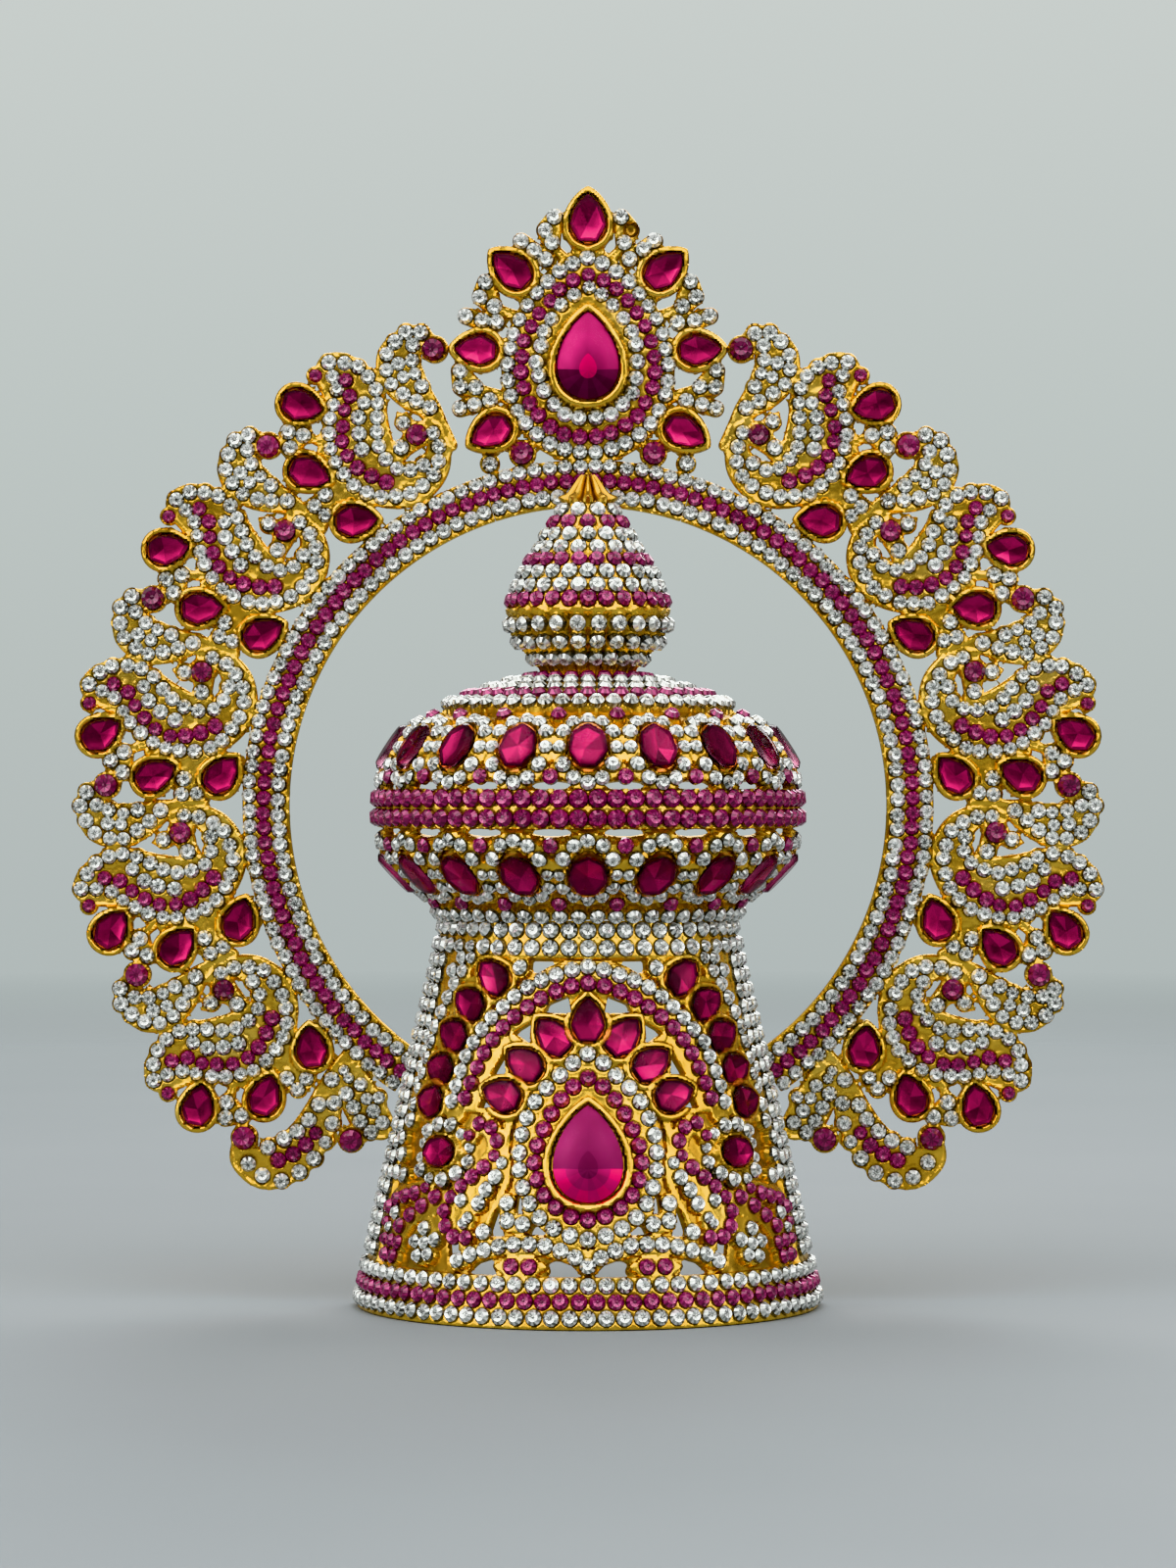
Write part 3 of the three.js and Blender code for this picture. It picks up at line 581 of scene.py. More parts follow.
def stone_cut():
    """The shared cut of a small stone, radius 1, with each facet's share of painted light.

    The facets under the table show through it as light and dark wedges round a dark centre: painted
    reflections, put into the facets' colour.
    Heights are shares of the table's; -1 marks the foot of the wall that goes into the metal. That wall is
    painted dark, as painted shade."""
    points = np.vstack([
        [[0, 0, 0.9]],
        ring_of(CENTRE_SIDES, CENTRE, 0.86),
        ring_of(GIRDLE_SIDES, TABLE, 1.0),
        ring_of(GIRDLE_SIDES, CROWN, 0.25),
        ring_of(GIRDLE_SIDES, 1.0, -1.0),
    ])
    centre = 1 + np.arange(CENTRE_SIDES)
    table = 1 + CENTRE_SIDES + np.arange(GIRDLE_SIDES)
    girdle = table + GIRDLE_SIDES
    foot = girdle + GIRDLE_SIDES
    faces, light = [], []

    def add(a, b, c, shade):
        faces.append([a, b, c])
        light.append(shade)

    for i in range(CENTRE_SIDES):
        j = (i + 1) % CENTRE_SIDES
        add(0, centre[i], centre[j], DIM)
        add(centre[i], table[2 * i], table[2 * i + 1], BRIGHT)
        add(centre[i], table[2 * i + 1], centre[j], DIM)
        add(centre[j], table[2 * i + 1], table[(2 * i + 2) % GIRDLE_SIDES], FAIR)
    for i in range(GIRDLE_SIDES):
        j = (i + 1) % GIRDLE_SIDES
        add(table[i], girdle[i], girdle[j], GIRDLE_LIGHT[i % 2])
        add(table[i], girdle[j], table[j], EVEN)
        add(foot[i], foot[j], girdle[j], DARK)
        add(foot[i], girdle[j], girdle[i], DARK)
    return points, np.array(faces), np.array(light)


STONE_POINTS, STONE_FACES, STONE_LIGHT = stone_cut()


def small_stones(name, skin, kind):
    """All the small stones of one colour on a skin, as one joined mesh."""
    chosen = [s for s in skin.stones if s["kind"] == kind and not s["empty"]]
    count = len(chosen)
    u, v, radius, level = np.array([[s[k] for k in ("u", "v", "radius", "level")] for s in chosen]).T
    point, across, up, normal = skin.surface.at(u, v)
    radius, level = radius[:, None], level[:, None]
    lean = across * rng.normal(0, TILT, (count, 1)) + up * rng.normal(0, TILT, (count, 1))
    normal = unit(normal + lean)
    turn = rng.uniform(0, 2 * np.pi, (count, 1))
    side = across * np.cos(turn) + up * np.sin(turn)
    side = unit(side - normal * np.sum(side * normal, axis=1, keepdims=True))
    x, y, z = STONE_POINTS.T
    lift = np.where(z < 0, -HIDDEN, GIRDLE_HEIGHT + z * TABLE_HEIGHT * radius)
    points = (point + normal * (level - SUNK))[:, None] + sum(
        axis[:, None] * reach[..., None]
        for axis, reach in ((side, x * radius), (np.cross(normal, side), y * radius), (normal, lift))
    )
    faces = STONE_FACES[None] + (np.arange(count) * len(STONE_POINTS))[:, None, None]
    shade = STONE_LIGHT + rng.normal(0, FACET_SPREAD, (count, len(STONE_FACES)))
    is_round = radius > (STONE_RADIUS + ROUND_RADIUS) / 2
    shade = shade + rng.normal(0, STONE_SPREAD, (count, 1)) * np.where(is_round, ROUND_SPREAD, 1.0)
    shade = np.clip(shade * np.where(is_round, ROUND_LIGHT, 1.0), 0, 1)
    make_piece(name, points.reshape(-1, 3), faces.reshape(-1, 3), [STONE_LOOKS[kind]],
               ("shade", "FACE", shade.ravel()))


# The rings of a large stone's glass, as scale and height; the last one closes in a point.
FACETED = [(0.95, 0.0), (1.0, 0.3), (0.99, 0.5), (0.84, 0.97), (0.8, 1.0), (0.4, 1.0)]
DOMED = [(0.96, 0.0), (1.0, 0.12)]
DOMED += [(math.cos(a), 0.12 + 0.88 * math.sin(a)) for a in np.radians([14, 28, 42, 56, 68, 79])]


def ring_pair(a, b, sides):
    """Two triangles between two rings of points, on one side of them."""
    return [[a, b, b + sides], [a, b + sides, a + sides]]


def large_stone(surface, u, v, lean, setting, shine):
    """A glass stone over its foil: points, faces, materials and each face's share of light."""
    point, across, up, normal = (a.reshape(3) for a in surface.at(u, v))
    x_axis = across * math.cos(lean) - up * math.sin(lean)
    y_axis = across * math.sin(lean) + up * math.cos(lean)
    outline = setting.outline(-STONE_PLAY)
    centre, sides, height = outline.mean(axis=0), setting.sides, setting.crown
    levels = DOMED if setting.field else FACETED
    rings = [at_height((outline - centre) * scale + centre, rise * height) for scale, rise in levels]
    glass = np.vstack([*rings, [[*centre, height]]])
    faces = []
    for k in range(len(levels) - 1):
        for i in range(sides):
            faces += ring_pair(k * sides + i, k * sides + (i + 1) % sides, sides)
    last = (len(levels) - 1) * sides
    tip = len(levels) * sides
    faces += [[last + i, last + (i + 1) % sides, tip] for i in range(sides)]
    faces += [[0, i + 1, i] for i in range(1, sides - 1)]
    if setting.field:
        foil, foil_faces, light = dome_foil(outline, setting)
    else:
        foil, foil_faces, light = cut_foil(outline, height, shine)
    material = [0] * len(faces) + [1] * len(foil_faces)
    light = [0.5] * len(faces) + list(light)
    faces = np.vstack([faces, np.array(foil_faces) + len(glass)])
    spots = np.vstack([glass, foil])
    points = point + np.outer(spots[:, 0], x_axis) + np.outer(spots[:, 1], y_axis)
    points = points + np.outer(spots[:, 2] + setting.level, normal)
    return points, faces, material, light


FOIL_SIDES = 7
FOIL_RIM, FOIL_MID = 0.97, 0.8  # how far the foil's rings reach out, as shares of the stone
RIM_HEIGHT, MID_HEIGHT, CULET_HEIGHT = 0.34, 0.2, 0.05  # shares of the stone's height
CULET_DROP, CULET_PLAY = 0.05, 0.25  # how low the culet lies, and how much it strays
RIM_LIGHT, MID_LIGHT, WEDGE_LIGHT = 0.12, 0.2, (0.22, 0.85)  # the wedges' light is drawn at random


def cut_foil(outline, height, shine):
    """The foil under a faceted stone, in painted light: a few broad wedges, and narrow facets painted dark
    round them.
    """
    centre = outline.mean(axis=0)
    culet = centre - [0, CULET_DROP * np.ptp(outline[:, 1])] + rng.normal(0, CULET_PLAY, 2)
    picks = (np.arange(FOIL_SIDES) * len(outline) / FOIL_SIDES).astype(int)
    rim = (outline[picks] - centre) * FOIL_RIM + centre
    mid = (outline[picks] - culet) * FOIL_MID + culet
    foil = np.vstack([
        at_height(rim, RIM_HEIGHT * height),
        at_height(mid, MID_HEIGHT * height),
        [[*culet, CULET_HEIGHT * height]],
    ])
    faces, light = [], []
    for i in range(FOIL_SIDES):
        j = (i + 1) % FOIL_SIDES
        m, n = FOIL_SIDES + i, FOIL_SIDES + j
        faces += [[i, j, m], [j, n, m], [m, n, 2 * FOIL_SIDES]]
        light += [RIM_LIGHT + shine, MID_LIGHT + shine, rng.uniform(*WEDGE_LIGHT) + shine]
    return foil, faces, np.clip(light, 0, 1)


DOME_HEART, DOME_PEAK = 0.33, 0.74  # where the foil's tip is, in the stone's length and height
WEDGE_PLAY = 0.1  # by how much its wedges differ in light
FAN_FROM = -2  # the fan lies below this angle from level, in degrees, seen from the foil's tip
DOME_RINGS = [(1.0, 0.08), (0.66, 0.52), (0.29, 0.71)]  # as shares of its reach and height


def dome_foil(outline, setting):
    """The foil under a smooth stone, in painted light: a soft field in three rings, and a fan of facets
    below.
    """
    sides, height = setting.sides, setting.crown
    low, high = outline[:, 1].min(), outline[:, 1].max()
    heart = np.array([0, low + DOME_HEART * (high - low)])
    rim = (outline - outline.mean(axis=0)) * FOIL_RIM + outline.mean(axis=0)
    ray = rim - heart
    rings = [at_height(heart + ray * share, lift * height) for share, lift in DOME_RINGS]
    angle = np.degrees(np.arctan2(ray[:, 1], np.abs(ray[:, 0])))
    faces, light = [], []
    for i in range(sides):
        j = (i + 1) % sides
        wedge = WEDGE_PLAY * ((i // 2) % 2 - 0.5)
        below = (angle[i] + angle[j]) / 2 < FAN_FROM
        tones = [tone + wedge for tone in setting.foot] if below else setting.field
        for k in (0, 1):
            faces += ring_pair(k * sides + i, k * sides + j, sides)
            light += [tones[k]] * 2
        faces.append([2 * sides + i, 2 * sides + j, 3 * sides])
        light.append(tones[2])
    return np.vstack([*rings, [[*heart, DOME_PEAK * height]]]), faces, np.clip(light, 0, 1)


def stone_piece(name, parts, node=None, smooth_dome=False):
    """One piece from large stones that are joined."""
    starts = np.cumsum([0] + [len(part[0]) for part in parts])
    points = np.vstack([part[0] for part in parts])
    faces = np.vstack([part[1] + start for part, start in zip(parts, starts)])
    material = sum((part[2] for part in parts), [])
    light = sum((part[3] for part in parts), [])
    looks = [PEAR_GLASS, PEAR_FOIL] if smooth_dome else [RED_GLASS, RED_FOIL]
    smooth = DOME_SMOOTH if smooth_dome else FACET_SMOOTH
    piece = make_piece(name, points, faces, looks, ("shade", "FACE", light),
                       smooth, face_material=material)
    if node:
        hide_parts(node)


def dress(label, skin, node, uneven=0.03, smallest=1.1, collar=0.16):
    """The metal of a part and the small stones set in it."""
    skin.weather(uneven)
    skin.fit_stones(smallest, collar)
    points, faces, painted_shade = skin_mesh(skin)
    points[:, 2] = np.maximum(points[:, 2], 0)
    # the gold's painted shade goes to its material as a layer
    layer = ("painted_shade", "POINT", painted_shade)
    piece = make_piece(f"{label}_gold", points, faces, [GOLD], layer, smooth=METAL_SMOOTH)
    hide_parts(node)
    small_stones(f"{label}_clear_stones", skin, "clear")
    small_stones(f"{label}_purple_stones", skin, "purple")


# ---------------- materials


def new_material(name):
    material = bpy.data.materials.new(name)
    material.use_nodes = True
    return material, material.node_tree, material.node_tree.nodes["Principled BSDF"]


def feed(tree, node, inputs):
    """Sets each named input of a node to a value, or links it to the output given for it."""
    for name, value in inputs.items():
        if isinstance(value, bpy.types.NodeSocket):
            tree.links.new(value, node.inputs[name])
        elif isinstance(value, tuple):
            node.inputs[name].default_value = (*value, 1.0)
        else:
            node.inputs[name].default_value = value


def add_node(tree, kind, inputs=(), **settings):
    node = tree.nodes.new(f"ShaderNode{kind}")
    for name, value in settings.items():
        setattr(node, name, value)
    feed(tree, node, dict(inputs))
    return node


def noise(tree, scale, detail=3.0):
    place = add_node(tree, "TexCoord").outputs["Object"]
    inputs = {"Vector": place, "Scale": scale, "Detail": detail, "Roughness": 0.55}
    return add_node(tree, "TexNoise", inputs).outputs["Fac"]


def ramp(tree, source, stops):
    node = add_node(tree, "ValToRGB", {"Fac": source})
    band = node.color_ramp
    while len(band.elements) < len(stops):
        band.elements.new(0.5)
    for element, (place, color) in zip(band.elements, stops):
        element.position = place
        element.color = (*color, 1.0)
    return node.outputs["Color"]


def spread(tree, source, low, high, to_low, to_high):
    inputs = {"Value": source, "From Min": low, "From Max": high, "To Min": to_low, "To Max": to_high}
    return add_node(tree, "MapRange", inputs).outputs["Result"]


def speckle(tree, scale, low, high):
    """Values between low and high in spots; a larger scale gives smaller spots."""
    return spread(tree, noise(tree, scale), 0.3, 0.7, low, high)


def mix_color(tree, factor, a, b):
    inputs = {"Factor": factor, "A": a, "B": b}
    return add_node(tree, "Mix", inputs, data_type="RGBA").outputs["Result"]


def attribute(tree, name):
    return add_node(tree, "Attribute", attribute_name=name).outputs["Fac"]


def gold_material(name):
    """Gold plate, with painted shade: darker where the mesh's shade layer says so."""
    material, tree, shader = new_material(name)
    gold = ramp(tree, noise(tree, 70.0), [
        (0.3, (0.71, 0.41, 0.06)),
        (0.52, (0.84, 0.54, 0.10)),
        (0.75, (0.90, 0.63, 0.16)),
    ])
    # painted shade, broken into spots, mixes the gold below towards a dark shadow brown
    inputs = {0: attribute(tree, "painted_shade"), 1: speckle(tree, 420.0, 0.55, 1.0)}
    shade_amount = add_node(tree, "Math", inputs, operation="MULTIPLY").outputs[0]
    feed(tree, shader, {
        "Metallic": 1.0,
        "Base Color": mix_color(tree, shade_amount, gold, (0.16, 0.055, 0.008)),
        "Roughness": spread(tree, noise(tree, 160.0), 0.25, 0.75, 0.18, 0.34),
    })
    bump = add_node(tree, "Bump", {"Strength": 0.14, "Distance": 0.00025})
    feed(tree, bump, {"Height": noise(tree, 900.0, detail=4.0)})
    feed(tree, shader, {"Normal": bump.outputs["Normal"]})
    return material


def cut_glass_material(name, stops, gloss=1.0):
    """A small foiled stone: each facet's share of painted light is put into its colour, under clear glass."""
    material, tree, shader = new_material(name)
    shade = attribute(tree, "shade")
    color = ramp(tree, shade, stops)
    feed(tree, shader, {
        "Base Color": mix_color(tree, speckle(tree, 1500.0, 0.8, 1.0), (0.02, 0.02, 0.02), color),
        "Metallic": 0.4,
        "Roughness": spread(tree, shade, 0.0, 1.0, 0.08, 0.22),
        "Coat Weight": gloss,
        "Coat Roughness": 0.03,
        "Coat IOR": 1.55,
    })
    return material


def foil_material(name, stops, rough=(0.14, 0.3)):
    """The coloured foil behind a large stone; each facet's share of painted light is put into its colour."""
    material, tree, shader = new_material(name)
    color = ramp(tree, attribute(tree, "shade"), stops)
    feed(tree, shader, {
        "Metallic": 0.75,
        "Specular IOR Level": 0.05,
        "Base Color": mix_color(tree, speckle(tree, 260.0, 0.75, 1.0), (0.05, 0.002, 0.012), color),
        "Roughness": speckle(tree, 500.0, *rough),
    })
    return material


def red_glass_material(name, ior):
    """Tinted glass that the foil shows through; a low index keeps its own gloss down."""
    material, tree, shader = new_material(name)
    feed(tree, shader, {
        "Base Color": ramp(tree, noise(tree, 60.0), [(0.3, (0.95, 0.52, 0.68)), (0.7, (0.99, 0.60, 0.74))]),
        "Transmission Weight": 1.0,
        "IOR": ior,
        "Roughness": speckle(tree, 700.0, 0.0, 0.015),
    })
    return material


GOLD = gold_material("gold plate")
STONE_LOOKS = {
    "clear": cut_glass_material("clear cut glass", [
        (0.0, (0.05, 0.05, 0.045)),
        (0.3, (0.32, 0.34, 0.31)),
        (0.65, (0.76, 0.79, 0.75)),
        (1.0, (0.97, 0.98, 0.96)),
    ]),
    "purple": cut_glass_material("purple cut glass", [
        (0.0, (0.09, 0.014, 0.038)),
        (0.4, (0.21, 0.022, 0.082)),
        (0.75, (0.36, 0.034, 0.142)),
        (1.0, (0.52, 0.075, 0.24)),
    ], gloss=0.5),
}
RED_FOIL = foil_material("ruby foil", [
    (0.0, (0.045, 0.006, 0.018)),
    (0.35, (0.22, 0.027, 0.08)),
    (0.7, (0.56, 0.06, 0.20)),
    (1.0, (0.88, 0.10, 0.32)),
])
PEAR_FOIL = foil_material("plum foil", [
    (0.0, (0.05, 0.008, 0.022)),
    (0.35, (0.22, 0.046, 0.125)),
    (0.6, (0.40, 0.055, 0.18)),
    (0.82, (0.60, 0.05, 0.22)),
    (1.0, (0.86, 0.015, 0.19)),
], rough=(0.3, 0.36))
RED_GLASS = red_glass_material("ruby glass", 1.2)
PEAR_GLASS = red_glass_material("plum glass", 1.1)

# ---------------- halo

# Large stones: width, length, then the bezel and how the stone sits in it.
DROP = Setting(6.6, 8.8, band=1.25, rim=BEZEL_TOP, level=BEZEL_TOP - 0.75, crown=1.5)
TRIO_REACH = 1.75  # half width of the web of metal between three stones

# One paisley unit. Straps are smooth lines of along, out and half width.
UNIT_STRAPS = {
    "paisley body": [
        (19.6, 104.6, 2.2), (18.6, 102, 4.6), (18, 97.8, 6), (19, 94, 6.2), (20.7, 90.3, 6.5),
        (22.3, 86.4, 6.8), (23.0, 82.4, 6.1), (22.1, 78.3, 5), (18.7, 75.4, 4.3), (14.4, 74.8, 3.9),
        (10.3, 76, 3.3), (7.6, 78.6, 2.6), (6.8, 81.6, 2.2), (7.4, 84.2, 1.8),
    ],
    "curl": [
        (1.6, 99.8, 2.2), (2.8, 102, 2.4), (5.2, 102, 2.9), (7.8, 99.8, 4.1), (8.4, 96.5, 4.6),
        (8, 93.2, 4.1), (6.9, 90, 3.1), (5.6, 87, 2.2), (4.8, 83.6, 1.5), (4.3, 79, 1.3),
    ],
    "spiral": [(7.4, 84.2, 1.7), (10.5, 83.4, 2.4), (14.5, 82.2, 1.8), (17.6, 81.2, 1.6)],
    "leaf under the middle drop": [(26.8, 77, 1.8), (30.2, 80.6, 2.2), (31.4, 85, 2.4), (29.2, 90.6, 1.1)],
    "leaf tip": [(30.2, 80.6, 1.8), (34, 81.2, 1.4), (38, 81.4, 1.2)],
    "stalk of the outer trio": [(27.4, 90.4, 1.0), (29, 94, 1.0), (30.4, 96, 1.0)],
    "beak above": [(11.8, 87.1, 1.7), (11.0, 88.0, 0.9), (10.3, 88.7, 0.2)],
    "beak below": [(11.8, 87.1, 1.6), (12.0, 88.4, 0.9), (12.1, 89.6, 0.2)],
}
UNIT_TRIOS = [
    [(29.9, 95.7), (31.8, 98), (33.6, 95.3)],
    [(34.1, 83.2), (37.5, 83.1), (37.1, 80.2)],
]
# Its drops: along, out, and the way the tip points, in degrees from straight out.
UNIT_DROPS = [(27, 100.7, -140), (33.7, 88.8, -150), (32.5, 75.2, -125)]
UNIT_ROUNDS = [(0.9, 98.6), (10.5, 83.7)]
# Rows of small stones: colour, how many, and the smooth line that they follow.
UNIT_ROWS = [
    ("clear", 19, [(19, 105.2), (20.2, 99.5), (24.1, 95.3), (27.4, 89.9), (28.3, 85), (27.4, 79.8),
                   (23.6, 75.6), (17.2, 73.6), (10.6, 74.8), (7.4, 79), (6.9, 82.7)]),
    ("clear", 12, [(16.6, 103.6), (14.2, 99.9), (13.9, 94.8), (16.3, 90.3), (18.6, 86.2),
                   (18.9, 82.1), (16.8, 78.2), (11.9, 77.6)]),
    ("clear", 4, [(16.9, 94.3), (19.3, 92.3), (20.8, 89.6), (22, 86.5)]),
    ("purple", 9, [(17.8, 100.1), (18.7, 97), (21, 94.9), (24.4, 90.5), (25.4, 85.6), (23.6, 80.9),
                   (21.4, 78.2)]),
    ("clear", 9, [(2.2, 102.7), (5, 103.8), (9.2, 101.3), (10.8, 97), (10.3, 94), (8, 90.4), (5.6, 87.6)]),
    ("clear", 4, [(4.4, 100.8), (5.4, 98.4), (5.9, 95.2), (5.7, 92.2)]),
    ("clear", 2, [(8.0, 98.6), (8.2, 95.6)]),
    ("clear", 2, [(11.8, 87.1), (14.7, 82.5)]),
]
UNIT_SMALL_PURPLE = (22.1, 104.3)
SMALL_PURPLE_RADIUS, SMALL_PURPLE_PAD = 1.35, 1.9

END_STRAPS = {
    "end curl": [
        (2, 99, 2.2), (4.2, 101.2, 2.7), (8.2, 99.6, 4.3), (10.2, 95, 4.9), (10.7, 89.4, 4.5),
        (9.6, 83.6, 3.9), (7.4, 78.4, 2.9), (5.8, 73.4, 2.1), (5.4, 70.8, 1.8),
    ],
    "end leaf": [(9, 73.4, 2.7), (13.4, 75.6, 3.9), (18, 77.8, 4.2), (21.6, 78.2, 3)],
}
END_ROUNDS = [(1.6, 97.9), (17.9, 83.8)]
END_ROWS = [
    ("clear", 8, [(5.2, 100.9), (9.3, 100.9), (12.5, 98.3), (14.1, 93), (13.9, 87.6), (12.5, 83.4),
                  (10, 80.2)]),
    ("purple", 4, [(9, 96.4), (10.6, 93.2), (11.2, 90.3), (11.2, 87.2)]),
    ("clear", 5, [(6, 95.8), (7.4, 92.4), (8.2, 89.2), (8.2, 86), (7.6, 82.6)]),
    ("clear", 2, [(6, 77), (6.8, 73.8)]),
    ("clear", 4, [(20.4, 80.4), (17.2, 79.6), (14.2, 78.3), (11, 77)]),
    ("clear", 4, [(21.6, 77.3), (18.6, 76.6), (15.2, 75.3), (12, 73.9)]),
    ("clear", 2, [(8.8, 74.4), (17.4, 73.7)]),
]

DROP_SHINE = -0.06  # added to the light of each facet of a drop's foil
ROUND_PAD = (ROUND_RADIUS + 0.5, PLATE + 0.3)  # radius and height under a round stone
WIRE_RISE, WIRE_AWAY, WIRE_REACH = 0.28, 0.6, 0.3  # height, place and reach of the edge's ridge
SEAM_BLEND = 0.8  # how far past a seam the ring's form goes on, unrounded


def halo_spot(side, degrees, out):
    a = math.radians(degrees)
    return np.array([side * out * math.sin(a), HALO_Z + out * math.cos(a)])


def along_angle(start, along):
    return start + math.degrees(along / UNIT_RADIUS)


def unit_places(side, start, rows):
    """Places of a unit, given as along, out and more, in the halo's plane."""
    return np.array([[*halo_spot(side, along_angle(start, r[0]), r[1]), *r[2:]] for r in rows])


def set_row(skin, kind, places, **how):
    for u, v in places:
        skin.seat(u, v, kind, **how)


def plate_skin(node):
    """Empty ground over the halo's plane, round the place of a solid."""
    low, high = np.array(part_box(node)) / MM + [[-PLATE_SPARE], [PLATE_SPARE]]
    return Skin(Plane(), (low[0], high[0]), (low[2], high[2]), 0)


def motif(skin, side, start, straps, rows, trios=(), rounds=()):
    """The metal of a paisley or of the end curl, and the small stones on it."""
    for points in straps.values():
        skin.strap(unit_places(side, start, points), PLATE)
    for trio in trios:
        skin.strap(trio_outline(unit_places(side, start, trio), TRIO_REACH), PLATE, smooth=False)
    for u, v in unit_places(side, start, rounds):
        skin.disc(u, v, *ROUND_PAD)
    for kind, count, line in rows:
        places = spaced(curve(unit_places(side, start, line)), count)
        set_row(skin, kind, places, pad=PLATE)
    for trio in trios:
        set_row(skin, "clear", unit_places(side, start, trio), pad=PLATE)
    set_row(skin, "purple", unit_places(side, start, rounds), radius=ROUND_RADIUS)


def ring_band(skin, low_angle, high_angle, side):
    """The ring between two angles, with its three rows of stones."""
    x, z = skin.across, skin.rise - HALO_Z
    out = np.hypot(x, z)
    angle = np.degrees(np.arctan2(side * x, z))
    ends = np.minimum(angle - low_angle, high_angle - angle) * math.pi / 180 * out
    depth = np.minimum(np.minimum(out - RING_INNER, RING_OUTER - out), ends + SEAM_BLEND)
    skin.lay(ALL, depth, PLATE, within=ends)
    return angle, out


def ring_stones(skin, side, low_angle, high_angle):
    """The ring's rows, spaced so that no stone sits on the seams at either end."""
    for out, kind in RING_ROWS:
        count = round(math.radians(high_angle - low_angle) * out / RING_PITCH)
        pitch = (high_angle - low_angle) / count
        for i in range(count):
            skin.seat(*halo_spot(side, low_angle + (i + 0.5) * pitch, out), kind)


def wire_edge(skin):
    """A soft ridge just inside every edge, as cast work has."""
    skin.top += np.where(skin.form > 0, WIRE_RISE * ridge(skin.form - WIRE_AWAY, WIRE_REACH), 0)


def wing(side, word):
    node = f"halo_wing_{word}"
    skin = plate_skin(node)
    angle, out = ring_band(skin, UNIT_START + SEAM, RING_END, side)
    starts = [UNIT_START + i * UNIT_PITCH for i in range(UNITS)]
    for start in starts:
        motif(skin, side, start, UNIT_STRAPS, UNIT_ROWS, UNIT_TRIOS, UNIT_ROUNDS)
        u, v = unit_places(side, start, [UNIT_SMALL_PURPLE])[0]
        skin.disc(u, v, SMALL_PURPLE_PAD, PLATE)
        skin.seat(u, v, "purple", radius=SMALL_PURPLE_RADIUS)
    motif(skin, side, UNIT_START + UNITS * UNIT_PITCH, END_STRAPS, END_ROWS, rounds=END_ROUNDS)
    ring_stones(skin, side, UNIT_START, RING_END)
    wire_edge(skin)
    if side < 0:
        depth = JOINT_HALF - np.abs(angle - RING_JOINT) * math.pi / 180 * out
        sunk = np.clip(np.where(out < RING_OUTER, depth, -1) / JOINT_SLOPE, 0, 1)
        skin.top -= JOINT_DEPTH * sunk
        # painted shade darkens the joint's groove
        skin.paint_shade(ALL, CREVICE_SHADE * sunk)
    drops = [(start, drop) for start in starts for drop in UNIT_DROPS]
    for number, (start, (along, out, tip)) in enumerate(drops, 1):
        u, v = halo_spot(side, along_angle(start, along), out)
        lean = side * math.radians(along_angle(start, along) + tip)
        stone = skin.set_large(u, v, lean, DROP, shine=DROP_SHINE)
        stone_piece(f"halo_drop_{word}_{number}", [stone], f"halo_drop_stone_{word}_{number}")
    dress(f"halo_{word}", skin, node, uneven=0.05)


# The crest: places are across and height, with the way a drop's tip points from upright.
CREST_PLATE = pear(35.6, 171.6, 216, RING_PINCH, 48)
CREST_PEAR_UP = 193.6
CREST_PEAR = Setting(12.9, 18.3, band=1.8, rim=5.0, level=3.9, crown=2.6, pocket=1.3, pinch=0.62, sides=40,
                     field=(0.60, 0.61, 0.97), foot=(0.10, 0.14, 0.97))
CREST_SHINE = 0.04
# Drops: across, height, where the tip points, width and length.
CREST_TOP_DROP = (0, 221.8, 0, 7.6, 10.4)
CREST_DROPS = [
    (15.7, 211.4, 48, 6.8, 9.5),
    (22.9, 195, 88, 6.4, 8.8),
    (19.9, 178.1, 120, 6.5, 9.0),
]
CREST_ROUND = (13.4, 173.8)
CREST_FOOT_STONE, CREST_FOOT_PAD = (20.1, 171.7), 2.1
# Webs of three small stones each, on the right side; the left side has the same.
CREST_TRIOS = [
    [(6.8, 222.2), (8.9, 219.6), (7.4, 216.9)],
    [(13.7, 217.3), (11.2, 215.4), (8.6, 213.6)],
    [(21, 208.9), (22.1, 205.9), (19.3, 204.1)],
    [(25, 202), (21.7, 201), (18.6, 200.6)],
    [(26.4, 190.8), (26.1, 187.4), (23, 187.3)],
    [(20.2, 184.8), (23.3, 183.8), (26.2, 183)],
]
LOST_STONE = (8.9, 219.6)  # the one that is missing in the photo
SWELL = 0.14  # how steeply the plate rises to the pear
SWELL_FROM, SWELL_REACH = 1, 8  # how far inside its edge that starts, and how far it goes
# Rings of small stones round the pear: colour, how many, width, lowest and highest place.
CREST_RINGS = [
    ("clear", 35, 33.0, 173.9, 213.8),
    ("purple", 29, 27.4, 177.1, 210.2),
    ("clear", 23, 20.4, 180.7, 207.5),
]
# Straight straps of across, height and half width.
CREST_RAYS = [
    [(3, 212, 1.2), (8.9, 218, 0.8)],
    [(15, 202, 1.2), (20, 204.2, 0.8)],
    [(15, 184.6, 1.4), (23, 187.4, 0.8)],
    [(4, 211, 1.4), (1.5, 215.5, 1.8)],
    [(14, 196, 2.0), (18, 195.4, 2.0)],
    [(12, 205, 2.0), (14, 208, 1.8)],
    [(15, 180, 1.4), (18, 179, 1.8)],
]


